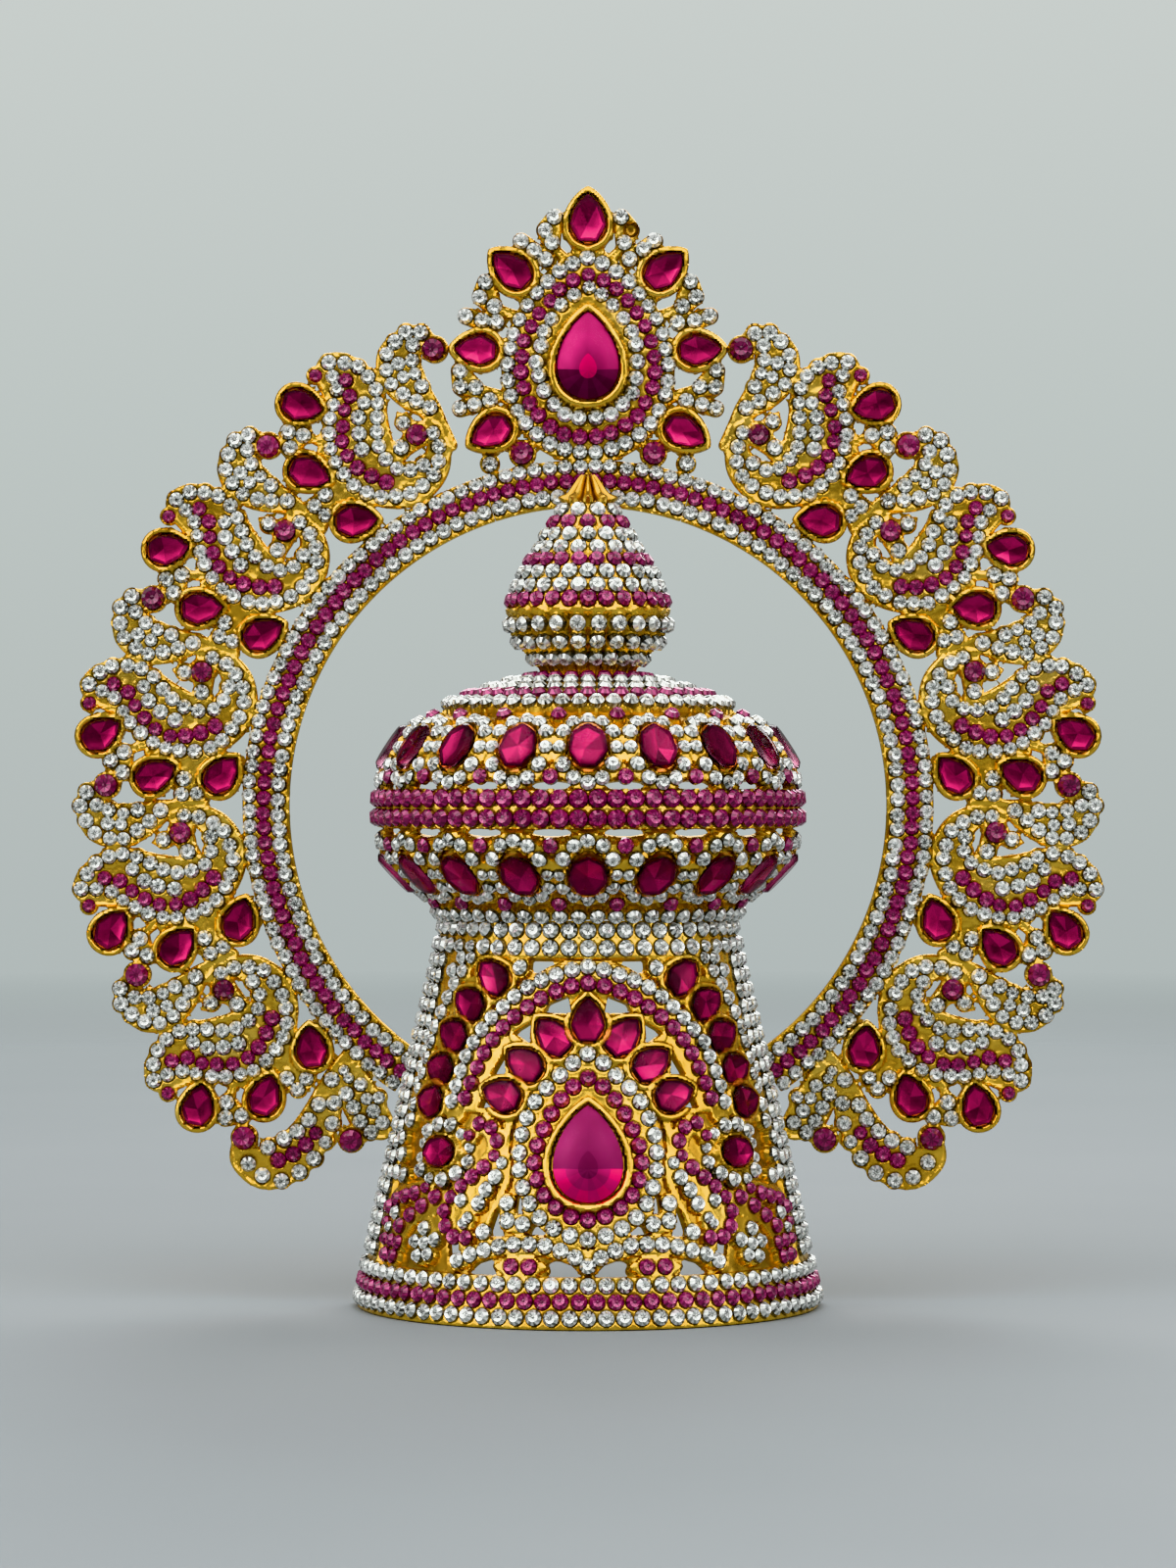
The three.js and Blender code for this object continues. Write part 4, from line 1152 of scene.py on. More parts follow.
def crest():
    skin = plate_skin("halo_crest")
    ring_band(skin, SEAM - UNIT_START, UNIT_START - SEAM, 1)
    skin.outline(CREST_PLATE, PLATE)
    trios = []
    for side in (-1, 1):
        for ray in CREST_RAYS:
            skin.strap(np.array(ray) * [side, 1, 1], PLATE, smooth=False)
        for trio in CREST_TRIOS:
            trios.append(np.array(trio) * [side, 1])
            skin.strap(trio_outline(trios[-1], TRIO_REACH), PLATE, smooth=False)
        skin.disc(side * CREST_FOOT_STONE[0], CREST_FOOT_STONE[1], CREST_FOOT_PAD, PLATE)
        skin.disc(side * CREST_ROUND[0], CREST_ROUND[1], *ROUND_PAD)
    wire_edge(skin)
    where, x, y = skin.box_round(CREST_PLATE, 0)
    depth = depth_in_outline(x, y, CREST_PLATE)
    skin.top[where] += SWELL * np.clip(depth - SWELL_FROM, 0, SWELL_REACH)
    for kind, count, width, low, high in CREST_RINGS:
        set_row(skin, kind, spaced(pear(width, low, high, RING_PINCH, 64), count, closed=True))
    ring_stones(skin, 1, -UNIT_START, UNIT_START)
    for u, v in np.vstack(trios):
        skin.seat(u, v, "clear", empty=math.dist((u, v), LOST_STONE) < 0.5)
    for side in (-1, 1):
        skin.seat(side * CREST_FOOT_STONE[0], CREST_FOOT_STONE[1], "clear")
        skin.seat(side * CREST_ROUND[0], CREST_ROUND[1], "purple", radius=ROUND_RADIUS)
    drops = [("top", CREST_TOP_DROP, 1)]
    for word, side in (("left", -1), ("right", 1)):
        drops += [(f"{word}_{i + 1}", drop, side) for i, drop in enumerate(CREST_DROPS)]
    for word, (across, up, tip, width, length), side in drops:
        setting = Setting(width, length, band=1.5, rim=BEZEL_TOP + 0.2, level=BEZEL_TOP - 0.55, crown=1.6)
        stone = skin.set_large(side * across, up, side * math.radians(tip), setting, shine=CREST_SHINE)
        stone_piece(f"crest_drop_{word}", [stone], f"crest_drop_stone_{word}")
    stone = skin.set_large(0, CREST_PEAR_UP, 0, CREST_PEAR)
    stone_piece("crest_pear", [stone], "crest_pear_stone", smooth_dome=True)
    dress("crest", skin, "halo_crest")


# ---------------- cup

CUP_TOP_RADIUS = 29.3
CONE_FOOT = 46.6  # radius of the cone under the rim band, at the floor
ARC_RADIUS = 40.0  # the circle on which "across" is measured
CUP = Shell([(CONE_FOOT, 0), (CUP_TOP_RADIUS - 0.6, CUP_HEIGHT)], ARC_RADIUS)
FRONT_REACH = 49.0  # how far across the finer grid of the front goes
RIM_BAND_TOP, TOP_BAND_FOOT = 10.1, 71.6
BAND_RELIEF, LOW_RELIEF = 0.6, 0.35  # of the two bands, and of the broad grounds
PAD = 0.55  # height of the pads under the small stones of the panel
CLEAN_FROM = 0.25  # relief higher than this gets none of the ground's painted shade
# painted shade on the sunk ground between straps
GROUND_SHADE = 0.7
# Rows right round on the two bands: height, colour, pitch and radius.
BAND_ROWS = [
    (8.4, "clear", 3.5, 1.6),
    (5.3, "purple", 3.5, 1.6),
    (2.2, "clear", 3.5, 1.6),
    (73.5, "clear", 3.6, 1.68),
    (77.0, "clear", 3.6, 1.68),
]
CUP_PEAR_UP = 33.5
CUP_PEAR = Setting(14.0, 19.7, band=1.7, rim=2.3, level=1.2, crown=2.8, pocket=1.3, pinch=0.62, sides=40,
                   field=(0.33, 0.30, 0.20), foot=(0.90, 0.64, 0.30))
PEAR_RING = pear(30.4, 15.6, 54.6, RING_PINCH, 48)
# Rows across both halves: colour, how many, and the right half of the line, from the top.
PEAR_RING_ROWS = [
    ("purple", 22, [(0, 48.2), (5.3, 44.4), (8.8, 38.9), (10.6, 32.1), (8, 25.2), (2.9, 21.6), (0, 21)]),
    ("clear", 28, [(0, 52.9), (6.1, 48.7), (10.9, 44), (13.5, 38), (13.7, 31.2), (11.6, 24.9),
                   (7.4, 20), (0, 17.3)]),
]
ARCH_ROWS = [
    ("clear", 27, [(0, 69.8), (8.1, 68.2), (15.5, 65.6), (21.9, 61.2), (26.7, 56.8), (30, 51.3), (32.1, 43)]),
    ("purple", 23, [(0, 66.6), (8.1, 64.9), (14.9, 61.8), (21.1, 57.3), (25.2, 52.2), (28.4, 43.8)]),
]
CUP_DROP = Setting(6.9, 9.3, band=1.35, rim=1.25, level=0.45, crown=1.4)
CUP_SHINE = -0.12
# Drops: across, up, and the way the tip points, in degrees from upright.
CUP_DROPS = [
    (8.1, 56.3, 43), (14.3, 50.9, 56), (18.9, 44.7, 74),
    (25.2, 67.6, 50), (31.5, 62.2, 62), (35.3, 55.9, 68), (37.9, 49.1, 76), (39.5, 42.7, 84),
]
CUP_TOP_DROP = (0, 59.4, 0)
CUP_EYE = (33, 33)
EYE = Setting(9, 6.4, band=0.7, rim=1.4, level=0.65, crown=1.7, pinch=0)
EYE_RING = (7.2, 5.6)  # half width and half height of the ring of stones round an eye
EYE_STONES = 12
# Raised straps: smooth lines of across, up and half width.
CUP_STRAPS = {
    "arch": [(0, 68.3, 3.3), (9.5, 66.2, 3.3), (19.5, 61, 3.3), (27.5, 52, 3.2), (30.8, 41.5, 3)],
    "scroll": [(25.7, 36.4, 1.7), (22.6, 39.2, 1.9), (18.9, 34.6, 2.5), (21.6, 28.4, 3.4),
               (25.4, 23, 3.8), (25, 16.8, 2.6)],
    "leg": [(16, 42.6, 1.2), (17.2, 36, 0.9), (16, 29, 0.8), (17.8, 24, 0.8), (19.6, 18.6, 0.8)],
    "lower scroll": [(29.6, 24, 2), (34, 22.4, 2.4), (39.4, 19.6, 2.2), (43.6, 14.4, 2.4)],
    "lower scroll, upper run": [(35, 26, 1.8), (41, 24.6, 2.0), (47.6, 22.4, 2.2), (48, 16, 2.0)],
    "small scroll": [(31, 19.4, 1.6), (34.4, 17.2, 2.2), (33, 13.2, 2.4)],
    "garland": [(0, 13, 2.2), (3.4, 14.4, 1.9), (8.6, 15.9, 1.9), (14.8, 15.8, 1.9), (20.8, 14.2, 1.8),
                (25, 12, 1.6)],
    "trefoil": [(12.1, 20, 1.9), (15, 20.4, 1.9), (15.6, 23.8, 1.9)],
}
# Broad grounds, a little lower than the straps.
CUP_PLATES = {
    "inside the arch": [(0, 70), (8, 69), (16, 66), (22.5, 61.5), (27.5, 56.5), (31, 50), (33.4, 41.4),
                        (26, 41.2), (17, 40.4), (0, 40)],
    "side petals": [(17, 67.6), (19, 71.6), (33, 71.6), (39.4, 63.6), (42.6, 55), (43.6, 47), (43, 38.6),
                    (35, 38.6), (33, 48), (30, 55), (25, 61.5)],
    "columns": [(32, 71.8), (39, 63), (42.2, 54), (43.2, 46), (44.6, 38), (50, 36), (50, 9.6), (80, 9.6),
                (80, 71.8)],
}
# Sunk slots between the side petals and the columns.
CUP_SLOTS = [
    [(28.6, 71.4), (31.4, 71.4), (34.0, 68.4), (33.0, 67.4)],
    [(35.2, 66.6), (36.6, 66.2), (38.6, 62.6), (37.6, 61.2)],
    [(39.2, 60.4), (40.4, 60), (42.0, 56), (41, 54.6)],
    [(41.8, 53.6), (42.8, 53), (43.6, 49.6), (42.8, 48.2)],
]
# Straight straps between the drops of the arch.
CUP_PETAL_STRAPS = [
    [(12.4, 61.6, 1.0), (10.2, 59.2, 1.0)],
    [(18, 56.2, 1.0), (16, 54, 1.0)],
    [(23.4, 46.2, 1.0), (21.8, 45.4, 1.0)],
]
# Rows on each side: colour, how many, and the smooth line that they follow.
CUP_ROWS = [
    ("purple", 13, [(25.7, 36.6), (23.2, 39.3), (20.1, 37.8), (18.8, 34.4), (20.4, 31.6), (22.8, 29.3),
                    (25.1, 27.6), (27.4, 25.4), (29.2, 22.9), (28.9, 19.6), (26.6, 17), (23.4, 16.9)]),
    ("clear", 4, [(17.4, 31.6), (18.5, 28.8), (20.3, 26.3), (21.6, 23.6)]),
    ("clear", 4, [(25.6, 24), (23, 21), (26.2, 20.4), (19.9, 18.2)]),
    ("clear", 3, [(15.6, 23.9), (15.2, 20.4), (12.1, 20)]),
    ("clear", 6, [(33.8, 18), (35.9, 15), (33.4, 12), (31.4, 13.6), (30.6, 16.4), (33.2, 15.2)]),
    ("purple", 5, [(32.3, 24.2), (35.2, 22.6), (38.4, 20.6), (41.6, 18.2), (44.2, 14.8)]),
    ("purple", 5, [(35.6, 25.8), (38.8, 24.6), (42, 23.7), (45.2, 23), (48.2, 21.2)]),
    ("purple", 3, [(45.6, 12), (47.4, 15.1), (48.2, 18.2)]),
    ("purple", 2, [(41.6, 14.6), (42.4, 11.8)]),
    ("clear", 2, [(44.6, 20.2), (46.4, 17.2)]),
    ("clear", 12, [(33.7, 71.2), (38.2, 66.4), (41.7, 61.2), (44.3, 55.4), (45.2, 49), (46.4, 43),
                   (46.6, 38.4)]),
    ("clear", 2, [(37.4, 71.2), (40.6, 68.6)]),
    ("clear", 4, [(49.4, 35), (47.6, 31.6), (48.6, 28.2), (44.6, 27.6)]),
]
# The garland's row, as its right half from the axis.
GARLAND_STONES = 19
GARLAND_HALF = [(0, 12), (2.6, 14), (8.1, 16), (14.6, 15.9), (20.9, 14.2), (24.6, 12.4)]
# Upright rows at the sides: across, and their lowest stone's height.
COLUMNS = [(47.9, 43), (52.2, 11.6), (56.4, 11.6), (60.5, 11.6), (64.2, 11.6)]
COLUMN_TOP, COLUMN_PITCH = 70.4, 3.05  # their highest stone's height, and their spacing
PETAL_STONE = (17.6, 69.6)
EYE_PAD, PETAL_PAD = 6.6, 2.2  # radii of the raised discs under an eye and a petal's stone
DIAMOND = [(6.9, 11.9), (9.6, 13.9), (14.8, 13.9), (17.4, 11.9), (14.8, 9.9), (9.6, 9.9)]
DIAMOND_STONES = [(10.5, 11.9), (13.8, 11.9)]
# Openings cut right through.
CUP_GAPS = [
    [(3.9, 60.9), (10.8, 61), (9.6, 62.8), (4.9, 64.2)],
    [(13.4, 59.3), (18.2, 57), (13.7, 54.9)],
    [(18.5, 48.8), (19.6, 53.6), (22.9, 48.6)],
    [(13.3, 26.1), (13.8, 25.8), (14.0, 22.4), (13.6, 21.8), (13.0, 22.0), (12.6, 23.2), (12.8, 24.6)],
    [(17.1, 23.2), (17.9, 22.6), (18.5, 20.6), (19.0, 18.7), (18.7, 17.7), (16.2, 17.7), (16.5, 18.8),
     (17.0, 20.2)],
    [(1.0, 10.3), (7.5, 10.3), (6.8, 11.4), (7.3, 12.9), (5.6, 13.4), (3.0, 12.5)],
    [(16.8, 10.3), (23.0, 10.3), (20.9, 12.4), (17.6, 13.5), (17.9, 11.8)],
    [(24.9, 13.9), (25, 15.9), (28.2, 15.9), (27, 11.8)],
    [(6.6, 71.3), (15.2, 71.3), (15.3, 69.2), (13.4, 68.8), (10.4, 70.2)],
    [(7.4, 18.2), (10.9, 18.1), (10.7, 18.9), (10.0, 20.2), (9.2, 19.6)],
    [(21.2, 42.2), (24, 44.2), (25, 42.2)],
]


def shell_skin(shell, ground, **grid):
    """A plain half shell, cut off by an upright plane behind its axis."""
    # Where a shell is narrower than its rear edge is deep, the plane cuts nothing off.
    widest = math.pi / 2 + math.asin(min(0.95, REAR_EDGE / shell.radius.min()))
    reach = shell.reference * widest + SHELL_SPARE
    heights = (-SHELL_SPARE, shell.length + SHELL_SPARE)
    skin = Skin(shell, (-reach, reach), heights, ground, **grid)
    r = np.interp(skin.rise, shell.run, shell.radius)
    behind = REAR_EDGE + r * np.cos(skin.across / shell.reference)
    skin.metal = np.minimum(np.minimum(skin.rise, shell.length - skin.rise), behind)
    skin.form = skin.metal.copy()
    return skin


def shade_recesses(skin):
    """The sunk ground between raised straps is painted darker, as painted shade."""
    skin.paint_shade(ALL, GROUND_SHADE * np.clip((CLEAN_FROM - skin.top) / (CLEAN_FROM - GROUND), 0, 1))


def band_row(skin, v, kind, pitch, radius, pad=None):
    """A row of stones right round a half shell."""
    shell = skin.surface
    r = float(np.interp(v, shell.run, shell.radius))
    edge = math.pi / 2 + math.asin((REAR_EDGE - radius - EDGE_PLAY) / r)
    count = max(2, int(2 * edge * r / pitch) + 1)
    for turn in np.linspace(-edge, edge, count):
        skin.seat(turn * shell.reference, v, kind, radius, pad)


def band(skin, low, high, height):
    """A raised band right round a half shell."""
    skin.lay(ALL, np.minimum(skin.rise - low, high - skin.rise), height)


def both_halves(half):
    """A line across both halves from its right half, which starts on the axis."""
    return np.vstack([half[:0:-1] * [-1, 1], half])


def cup():
    skin = shell_skin(CUP, GROUND, cell=FRONT_CELL, front=FRONT_REACH)
    scale = CUP.length / CUP_HEIGHT

    def lift(points, side=1):
        """Places on one side of the cup, from heights to distances along the cone."""
        p = np.array(points, float)
        p[:, 0] *= side
        p[:, 1] *= scale
        return p

    band(skin, -SHELL_SPARE, RIM_BAND_TOP * scale, BAND_RELIEF)
    band(skin, TOP_BAND_FOOT * scale, CUP.length + SHELL_SPARE, BAND_RELIEF)
    for side in (-1, 1):
        for plate in CUP_PLATES.values():
            skin.outline(lift(plate, side), LOW_RELIEF)
        for slot in CUP_SLOTS:
            where, x, y = skin.box_round(lift(slot, side), 1)
            inside = depth_in_outline(x, y, lift(slot, side)) > 0
            skin.top[where] = np.where(inside, GROUND, skin.top[where])
    skin.outline(lift(PEAR_RING), RELIEF)
    for side in (-1, 1):
        for points in CUP_STRAPS.values():
            skin.strap(lift(points, side), RELIEF)
        for points in CUP_PETAL_STRAPS:
            skin.strap(lift(points, side), RELIEF, smooth=False)
        skin.outline(lift(DIAMOND, side), RELIEF)
        for place, pad in zip(lift([CUP_EYE, PETAL_STONE], side), (EYE_PAD, PETAL_PAD)):
            skin.disc(*place, pad, RELIEF)
    drops = []
    for side in (-1, 1):
        for u, v, tip in lift(CUP_DROPS + ([CUP_TOP_DROP] if side > 0 else []), side):
            lean = side * math.radians(tip)
            drops.append(skin.set_large(u, v, lean, CUP_DROP, shine=CUP_SHINE))
        drops.append(skin.set_large(*lift([CUP_EYE], side)[0], 0, EYE))
    stone_piece("cup_drops", drops)
    stone = skin.set_large(0, CUP_PEAR_UP * scale, 0, CUP_PEAR)
    stone_piece("cup_pear", [stone], "cup_pear_stone", smooth_dome=True)
    for kind, count, half in PEAR_RING_ROWS:
        set_row(skin, kind, spaced(curve(lift(mirror_half(half)), closed=True), count, True, CUP))
    for kind, count, half in [*ARCH_ROWS, ("clear", GARLAND_STONES, GARLAND_HALF)]:
        set_row(skin, kind, spaced(curve(both_halves(lift(half))), count, surface=CUP))
    for side in (-1, 1):
        for kind, count, line in CUP_ROWS:
            set_row(skin, kind, spaced(curve(lift(line, side)), count, surface=CUP), pad=PAD)
        a = 2 * np.pi * (np.arange(EYE_STONES) + 0.5) / EYE_STONES
        ring = np.column_stack([np.cos(a), np.sin(a)]) * EYE_RING
        set_row(skin, "clear", lift([CUP_EYE], side) + ring)
        set_row(skin, "clear", lift([PETAL_STONE], side))
        set_row(skin, "purple", lift(DIAMOND_STONES, side))
        for across, lowest in COLUMNS:
            column = [(across, up) for up in np.arange(COLUMN_TOP, lowest, -COLUMN_PITCH)]
            set_row(skin, "clear", lift(column, side), pad=PAD)
    for up, kind, pitch, radius in BAND_ROWS:
        band_row(skin, up * scale, kind, pitch, radius)
    for side in (-1, 1):
        for gap in CUP_GAPS:
            skin.cut(lift(gap, side))
    shade_recesses(skin)
    skin.top -= fall(skin.form)
    dress("cup", skin, "cup_shell", uneven=0.02, smallest=1.2, collar=0.12)


# ---------------- bulb

BULB = Shell([
    (28.9, CUP_HEIGHT - 0.3), (29.6, 79.4), (33.5, 84.3), (38.4, 88.6), (41, 92.2), (42.3, 97),
    (42.6, 101), (42.1, 106), (40.3, 111.5), (37.2, 115.8), (33.2, 119.0), (30.4, 120.4),
    (29.2, 120.9), (28.8, 121.6), (27.6, 122.5), (24.6, 123.6), (20.4, 125.0), (16.0, 126.3),
    (11.6, 127.2), (8.2, 127.6),
], 42.0)
BULB_BANDS = [(97.4, 104.8, 0.5), (120.8, 127.5, 0.3)]  # lowest and highest place, and relief
OVAL = Setting(8.1, 10.8, band=0.75, rim=1.4, level=0.55, crown=1.6, pinch=0)
OVALS, OVAL_PITCH = 9, 20.0  # degrees from one oval to the next
OVAL_ROWS = [88.8, 113.0]
OVAL_STONES = 12
OVAL_RING = (5.5, 7.3)  # half width and half length of the ring of stones round an oval
OVAL_RIM = 1.9  # how far the metal reaches past the middles of those stones
OVAL_PAD = pear(2 * (OVAL_RING[0] + OVAL_RIM), -OVAL_RING[1] - OVAL_RIM, OVAL_RING[1] + OVAL_RIM, 0, 28)
# Added to the light of the foil: in the lower row, and in the middle and sides of the upper row.
LOWER_SHINE, MIDDLE_SHINE, SIDE_SHINE = 0.04, -0.08, -0.3
SMALL_PURPLE_ROWS = [82.9, 94.2, 107.4, 119.2]
SMALL_STONE, SMALL_PAD = 1.6, 0.6  # radius, and height of the pad under a purple one
SLOT_ROWS = [96.4, 106.0]  # openings above and below the belt
SLOT_HALF, SLOT_RISE = 4.2, 0.9  # half their width and half their height
# Rows right round, on the belt, the dome and the foot: height, colour, pitch, radius and pad.
BULB_ROWS = [
    (103.2, "purple", 3.65, 1.85, None),
    (99.4, "purple", 3.65, 1.85, None),
    (122.1, "clear", 3.3, 1.62, 0.5),
    (123.6, "purple", 3.3, 1.62, 0.5),
    (124.95, "clear", 3.3, 1.62, 0.5),
    (126.2, "clear", 3.3, 1.62, 0.5),
    (127.1, "purple", 3.3, 1.62, 0.5),
    (80.4, "clear", 3.5, 1.6, 0.6),
]


def oval_turns(count):
    """Angles from the front of places round the bulb, as far apart as the ovals."""
    return [math.radians((i - (count - 1) / 2) * OVAL_PITCH) for i in range(count)]


def bulb():
    skin = shell_skin(BULB, GROUND)
    at = BULB.rise
    for low, high, height in BULB_BANDS:
        band(skin, at(low), at(high), height)
    ovals = [(row, turn) for row in OVAL_ROWS for turn in oval_turns(OVALS)]
    stones = []
    for row, turn in ovals:
        u, v = turn * BULB.reference, at(row)
        where, x, y = skin.near_place(u, v, OVAL_RING[1] + OVAL_RIM + EDGE)
        skin.lay(where, depth_in_outline(x, y, OVAL_PAD), RELIEF)
        upper_shine = MIDDLE_SHINE if abs(turn) < 0.5 else SIDE_SHINE
        shine = LOWER_SHINE if row == OVAL_ROWS[0] else upper_shine
        stones.append(skin.set_large(u, v, 0, OVAL, shine=shine))
    stone_piece("bulb_ovals", stones)
    for row, turn in ovals:
        for k in range(OVAL_STONES):
            a = 2 * math.pi * k / OVAL_STONES + math.pi / 2
            v = at(row) + OVAL_RING[1] * math.sin(a)
            u = turn * BULB.reference + OVAL_RING[0] * math.cos(a) / float(BULB.stretch(v))
            skin.seat(u, v, "clear", SMALL_STONE)
    for row in SMALL_PURPLE_ROWS:
        for turn in oval_turns(OVALS - 1):
            skin.seat(turn * BULB.reference, at(row), "purple", SMALL_STONE, SMALL_PAD)
    for row, kind, pitch, radius, pad in BULB_ROWS:
        band_row(skin, at(row), kind, pitch, radius, pad)
    a = np.linspace(0, 2 * np.pi, 20, endpoint=False)
    for row in SLOT_ROWS:
        for turn in oval_turns(OVALS - 1):
            skin.cut(np.column_stack([turn * BULB.reference + SLOT_HALF * np.cos(a),
                                      at(row) + SLOT_RISE * np.sin(a)]))
    shade_recesses(skin)
    skin.top -= fall(skin.form)
    dress("bulb", skin, "bulb_shell", collar=0.2)


# ---------------- finial

FINIAL = Shell([
    (8.6, 127.5), (9.2, 129.0), (10.4, 131.2), (13.4, 134.2), (15.4, 137.0), (15.9, 139.6),
    (15.9, 142.0), (14.8, 145.6), (13.4, 148.7), (11.8, 151.4), (10.0, 153.9), (8.6, 156.6),
    (7.0, 159.2), (5.2, 162), (4.4, 163.6), (3.3, 165.6), (1.8, 167.6), (0.7, 168.9),
], 16.0)
FLUTES = 24  # flutes round a full turn of the pot
FLUTE_RELIEF = 0.6
LIP_RELIEF, LIP_WAVE, LIP_REACH = 0.8, 0.35, 0.7  # the pot's lip waves with the flutes
LEAVES = 5  # leaves round half a turn of the tip
LEAF_RELIEF, RIM_REACH = 1.3, 1.1  # relief of the leaves and of the rim at their feet, and its reach
POT_ROWS = [138.5, 135.2, 131.9]
POT_STONE, CONE_STONE, CONE_PITCH = 1.66, 1.75, 3.45  # two radii, and the spacing in a row
CONE_ROWS = [
    (143.4, "purple"), (146.1, "clear"), (148.9, "clear"), (151.4, "purple"),
    (153.9, "clear"), (156.6, "clear"), (159.2, "purple"), (161.7, "clear"),
]
POT_FOOT, POT_LIP, CAP_FOOT, CAP_RIM = 131.6, 141.2, 162.9, 163.6  # heights
FLUTE_FADE, CAP_FADE, FOOT_FADE = 1.5, 0.6, 2.0  # lengths over which these come in
LEAF_SINK = 0.5  # how deep the ground between the leaves lies
LEAF_SHADE, FLUTE_SHADE, POT_FOOT_SHADE = 0.6, 0.8, 0.6  # painted shade: the least on the leaves, the most elsewhere


def finial():
    skin = shell_skin(FINIAL, 0.0, cell=0.38)
    at = FINIAL.rise
    turn = skin.across / FINIAL.reference
    flute = np.cos((turn - math.pi / FLUTES) * FLUTES)
    pot = np.clip((at(POT_LIP) - skin.rise) / FLUTE_FADE, 0, 1)
    skin.top += FLUTE_RELIEF * pot * flute**3
    skin.top += LIP_RELIEF * ridge(skin.rise - at(POT_LIP) - LIP_WAVE * flute, LIP_REACH)
    cap = np.clip((skin.rise - at(CAP_FOOT)) / CAP_FADE, 0, 1)
    leaf = np.abs(np.cos(turn * LEAVES))
    rim = LEAF_RELIEF * leaf * ridge(skin.rise - at(CAP_RIM), RIM_REACH)
    skin.top += cap * (LEAF_RELIEF * leaf - LEAF_SINK + rim)
    # painted shade over the cap, heavier between the leaves, in the flutes' grooves and below the pot's foot
    skin.paint_shade(ALL, cap * np.clip(1.35 - 1.1 * leaf, LEAF_SHADE, 1))
    skin.paint_shade(ALL, FLUTE_SHADE * pot * np.clip(0.2 - flute, 0, 1))
    skin.paint_shade(ALL, POT_FOOT_SHADE * np.clip((at(POT_FOOT) - skin.rise) / FOOT_FADE, 0, 1))
    for row in POT_ROWS:
        for i in range(-FLUTES // 4, FLUTES // 4):
            skin.seat(2 * math.pi * (i + 0.5) / FLUTES * FINIAL.reference, at(row), "clear", POT_STONE)
    for row, kind in CONE_ROWS:
        band_row(skin, at(row), kind, CONE_PITCH, CONE_STONE, pad=0.2)
    skin.top -= fall(skin.form)
    dress("finial", skin, "finial_shell", uneven=0.02, smallest=POT_STONE, collar=0.25)


wing(-1, "left")
wing(1, "right")
crest()
cup()
bulb()
finial()

# ---------------- floor, lights and camera

MIDDLE = Vector((0, 0, 0.11))  # metres
# Lamps: name, place and size in metres, and power.
LAMPS = [
    ("overhead", (-0.15, -0.75, 1.25), (2.7, 1.9), 28),
    ("left", (-1.3, -1.0, 0.6), (1.4, 1.6), 12),
    ("right", (1.3, -0.9, 0.5), (1.2, 1.6), 9),
    ("behind", (0.2, 1.0, 0.8), (1.2, 0.6), 8),
]
# Colours of the room from below to overhead, and of the backdrop from below to above the eye.
ROOM = [
    (0.3, (0.16, 0.16, 0.16)),
    (0.5, (0.14, 0.135, 0.13)),
    (0.62, (0.30, 0.30, 0.31)),
    (1.0, (0.80, 0.80, 0.80)),
]
ROOM_POWER = 1.15
SKYLINE = 0.18  # how steeply up and down the backdrop reaches its last colours
BACKDROP = [(0.0, (0.40, 0.45, 0.46)), (0.5, (0.50, 0.55, 0.54)), (1.0, (0.62, 0.66, 0.64))]
VIEW = "Khronos PBR Neutral"
FLOOR_REACH = 12.0  # metres
FLOOR_SOLID = 0.3  # metres from the crown to where the floor starts to fade
FLOOR_FADED = 1.7  # and to where it has gone


def floor_material():
    """A pale floor that fades away towards the backdrop."""
    material, tree, shader = new_material("pale floor")
    color = ramp(tree, noise(tree, 3.0), [(0.3, (0.215, 0.237, 0.244)), (0.7, (0.238, 0.261, 0.268))])
    place = add_node(tree, "TexCoord").outputs["Object"]
    away = add_node(tree, "VectorMath", {0: place}, operation="LENGTH").outputs["Value"]
    feed(tree, shader, {
        "Base Color": color,
        "Roughness": 0.75,
        "Alpha": spread(tree, away, FLOOR_SOLID, FLOOR_FADED, 1.0, 0.0),
    })
    return material


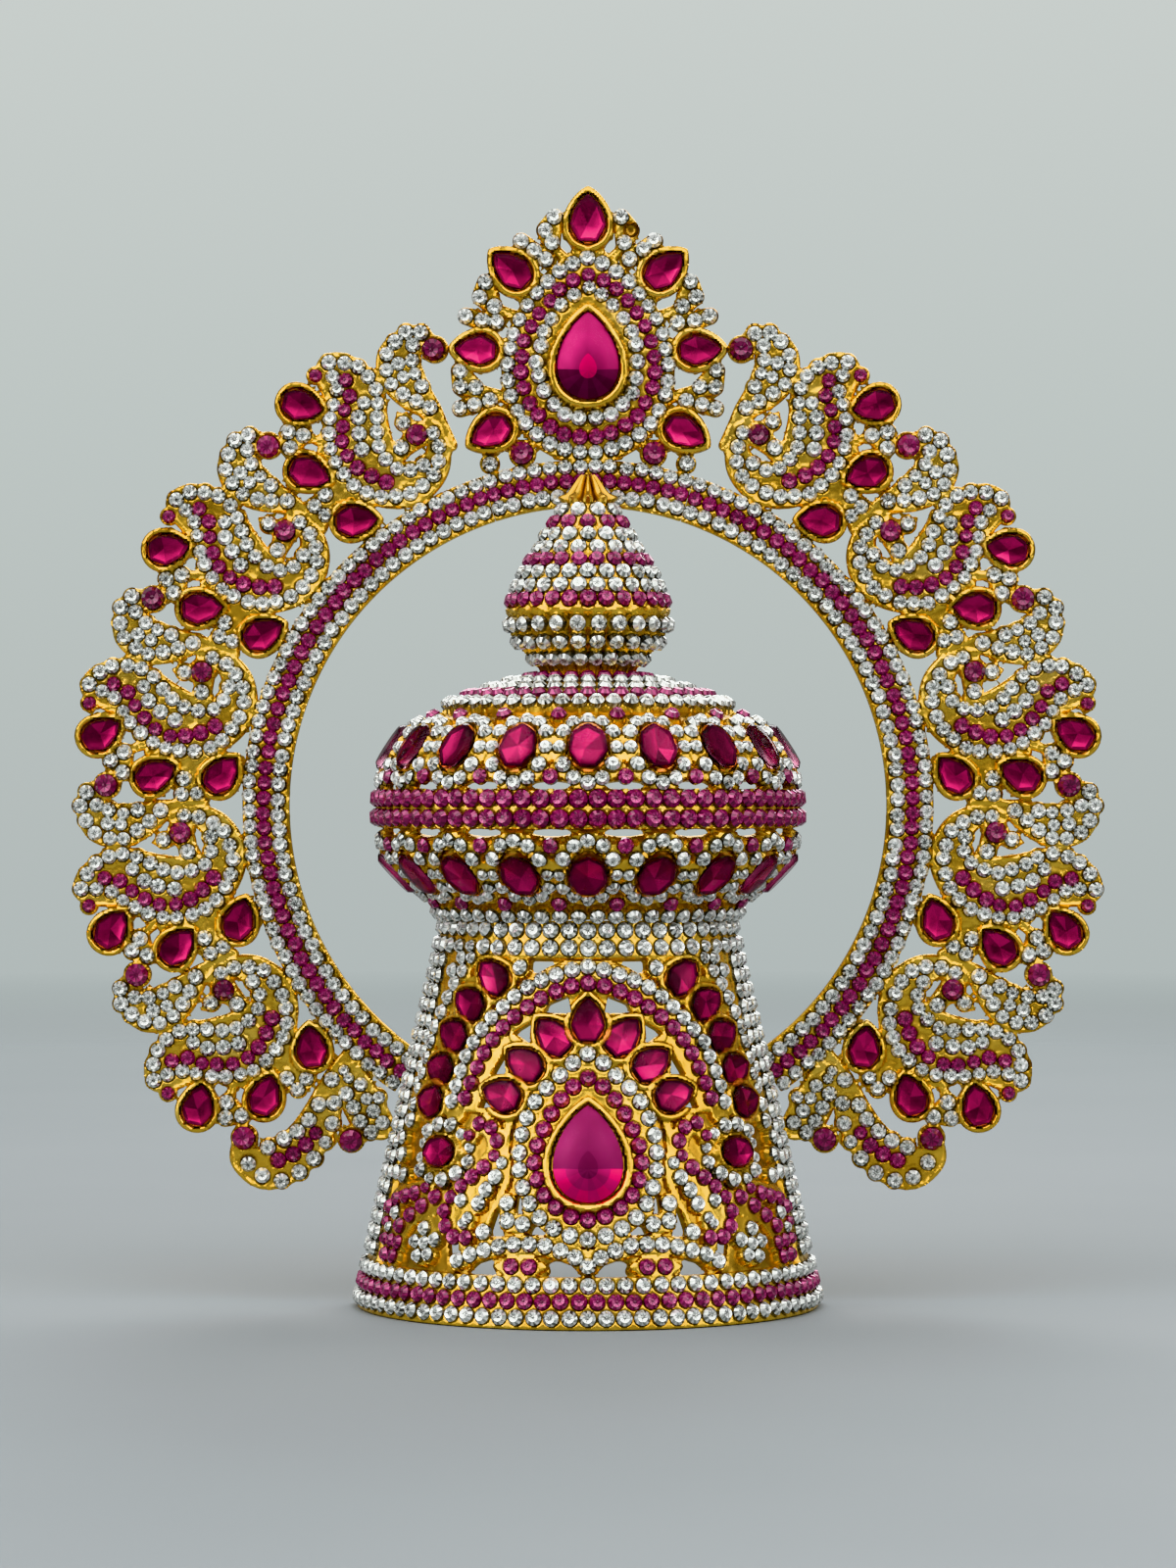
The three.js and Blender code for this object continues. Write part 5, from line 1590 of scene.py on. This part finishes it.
def floor():
    r = FLOOR_REACH
    mesh = bpy.data.meshes.new("floor")
    mesh.from_pydata([(-r, -r, 0), (r, -r, 0), (r, r, 0), (-r, r, 0)], [], [(0, 1, 2, 3)])
    mesh.materials.append(floor_material())
    add_object("floor", mesh)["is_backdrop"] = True


def soft_light(name, place, size, power):
    """A rectangular lamp aimed at the middle of the crown."""
    data = bpy.data.lights.new(name, "AREA")
    data.shape = "RECTANGLE"
    data.size, data.size_y = size
    data.energy = power
    lamp = add_object(name, data)
    lamp.location = place
    lamp.rotation_euler = (MIDDLE - Vector(place)).to_track_quat("-Z", "Y").to_euler()


def studio():
    """Large soft lamps over a dim room; the camera sees a pale backdrop instead of the room."""
    world = bpy.data.worlds.new("studio")
    bpy.context.scene.world = world
    world.use_nodes = True
    tree = world.node_tree
    place = add_node(tree, "TexCoord").outputs["Generated"]
    up = add_node(tree, "SeparateXYZ", {0: place}).outputs["Z"]
    room = tree.nodes["Background"]
    height = spread(tree, up, -1.0, 1.0, 0.0, 1.0)
    feed(tree, room, {"Color": ramp(tree, height, ROOM), "Strength": ROOM_POWER})
    backdrop = add_node(tree, "Background")
    height = spread(tree, up, -SKYLINE, SKYLINE, 0.0, 1.0)
    feed(tree, backdrop, {"Color": ramp(tree, height, BACKDROP)})
    seen = add_node(tree, "LightPath").outputs["Is Camera Ray"]
    either = add_node(tree, "MixShader", {0: seen, 1: room.outputs[0], 2: backdrop.outputs[0]})
    feed(tree, tree.nodes["World Output"], {"Surface": either.outputs[0]})
    for lamp in LAMPS:
        soft_light(*lamp)
    bpy.context.scene.view_settings.view_transform = VIEW


CAMERA_HEIGHT = 0.1061  # metres
CAMERA_DISTANCE = 0.937  # metres in front of the shells' axis
LENS = 105.4


def camera():
    data = bpy.data.cameras.new("camera")
    data.sensor_fit = "VERTICAL"
    data.sensor_height = 36.0
    data.lens = LENS
    data.clip_start = 0.01
    view = add_object("camera", data)
    view.location = (0, AXIS_Y * MM - CAMERA_DISTANCE, CAMERA_HEIGHT)
    view.rotation_euler = (math.pi / 2, 0, 0)
    bpy.context.scene.camera = view


floor()
studio()
camera()

as_lists = lambda box: [[float(c) for c in corner] for corner in box]
{"cad": as_lists(cad_box), "visual": as_lists(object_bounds())}
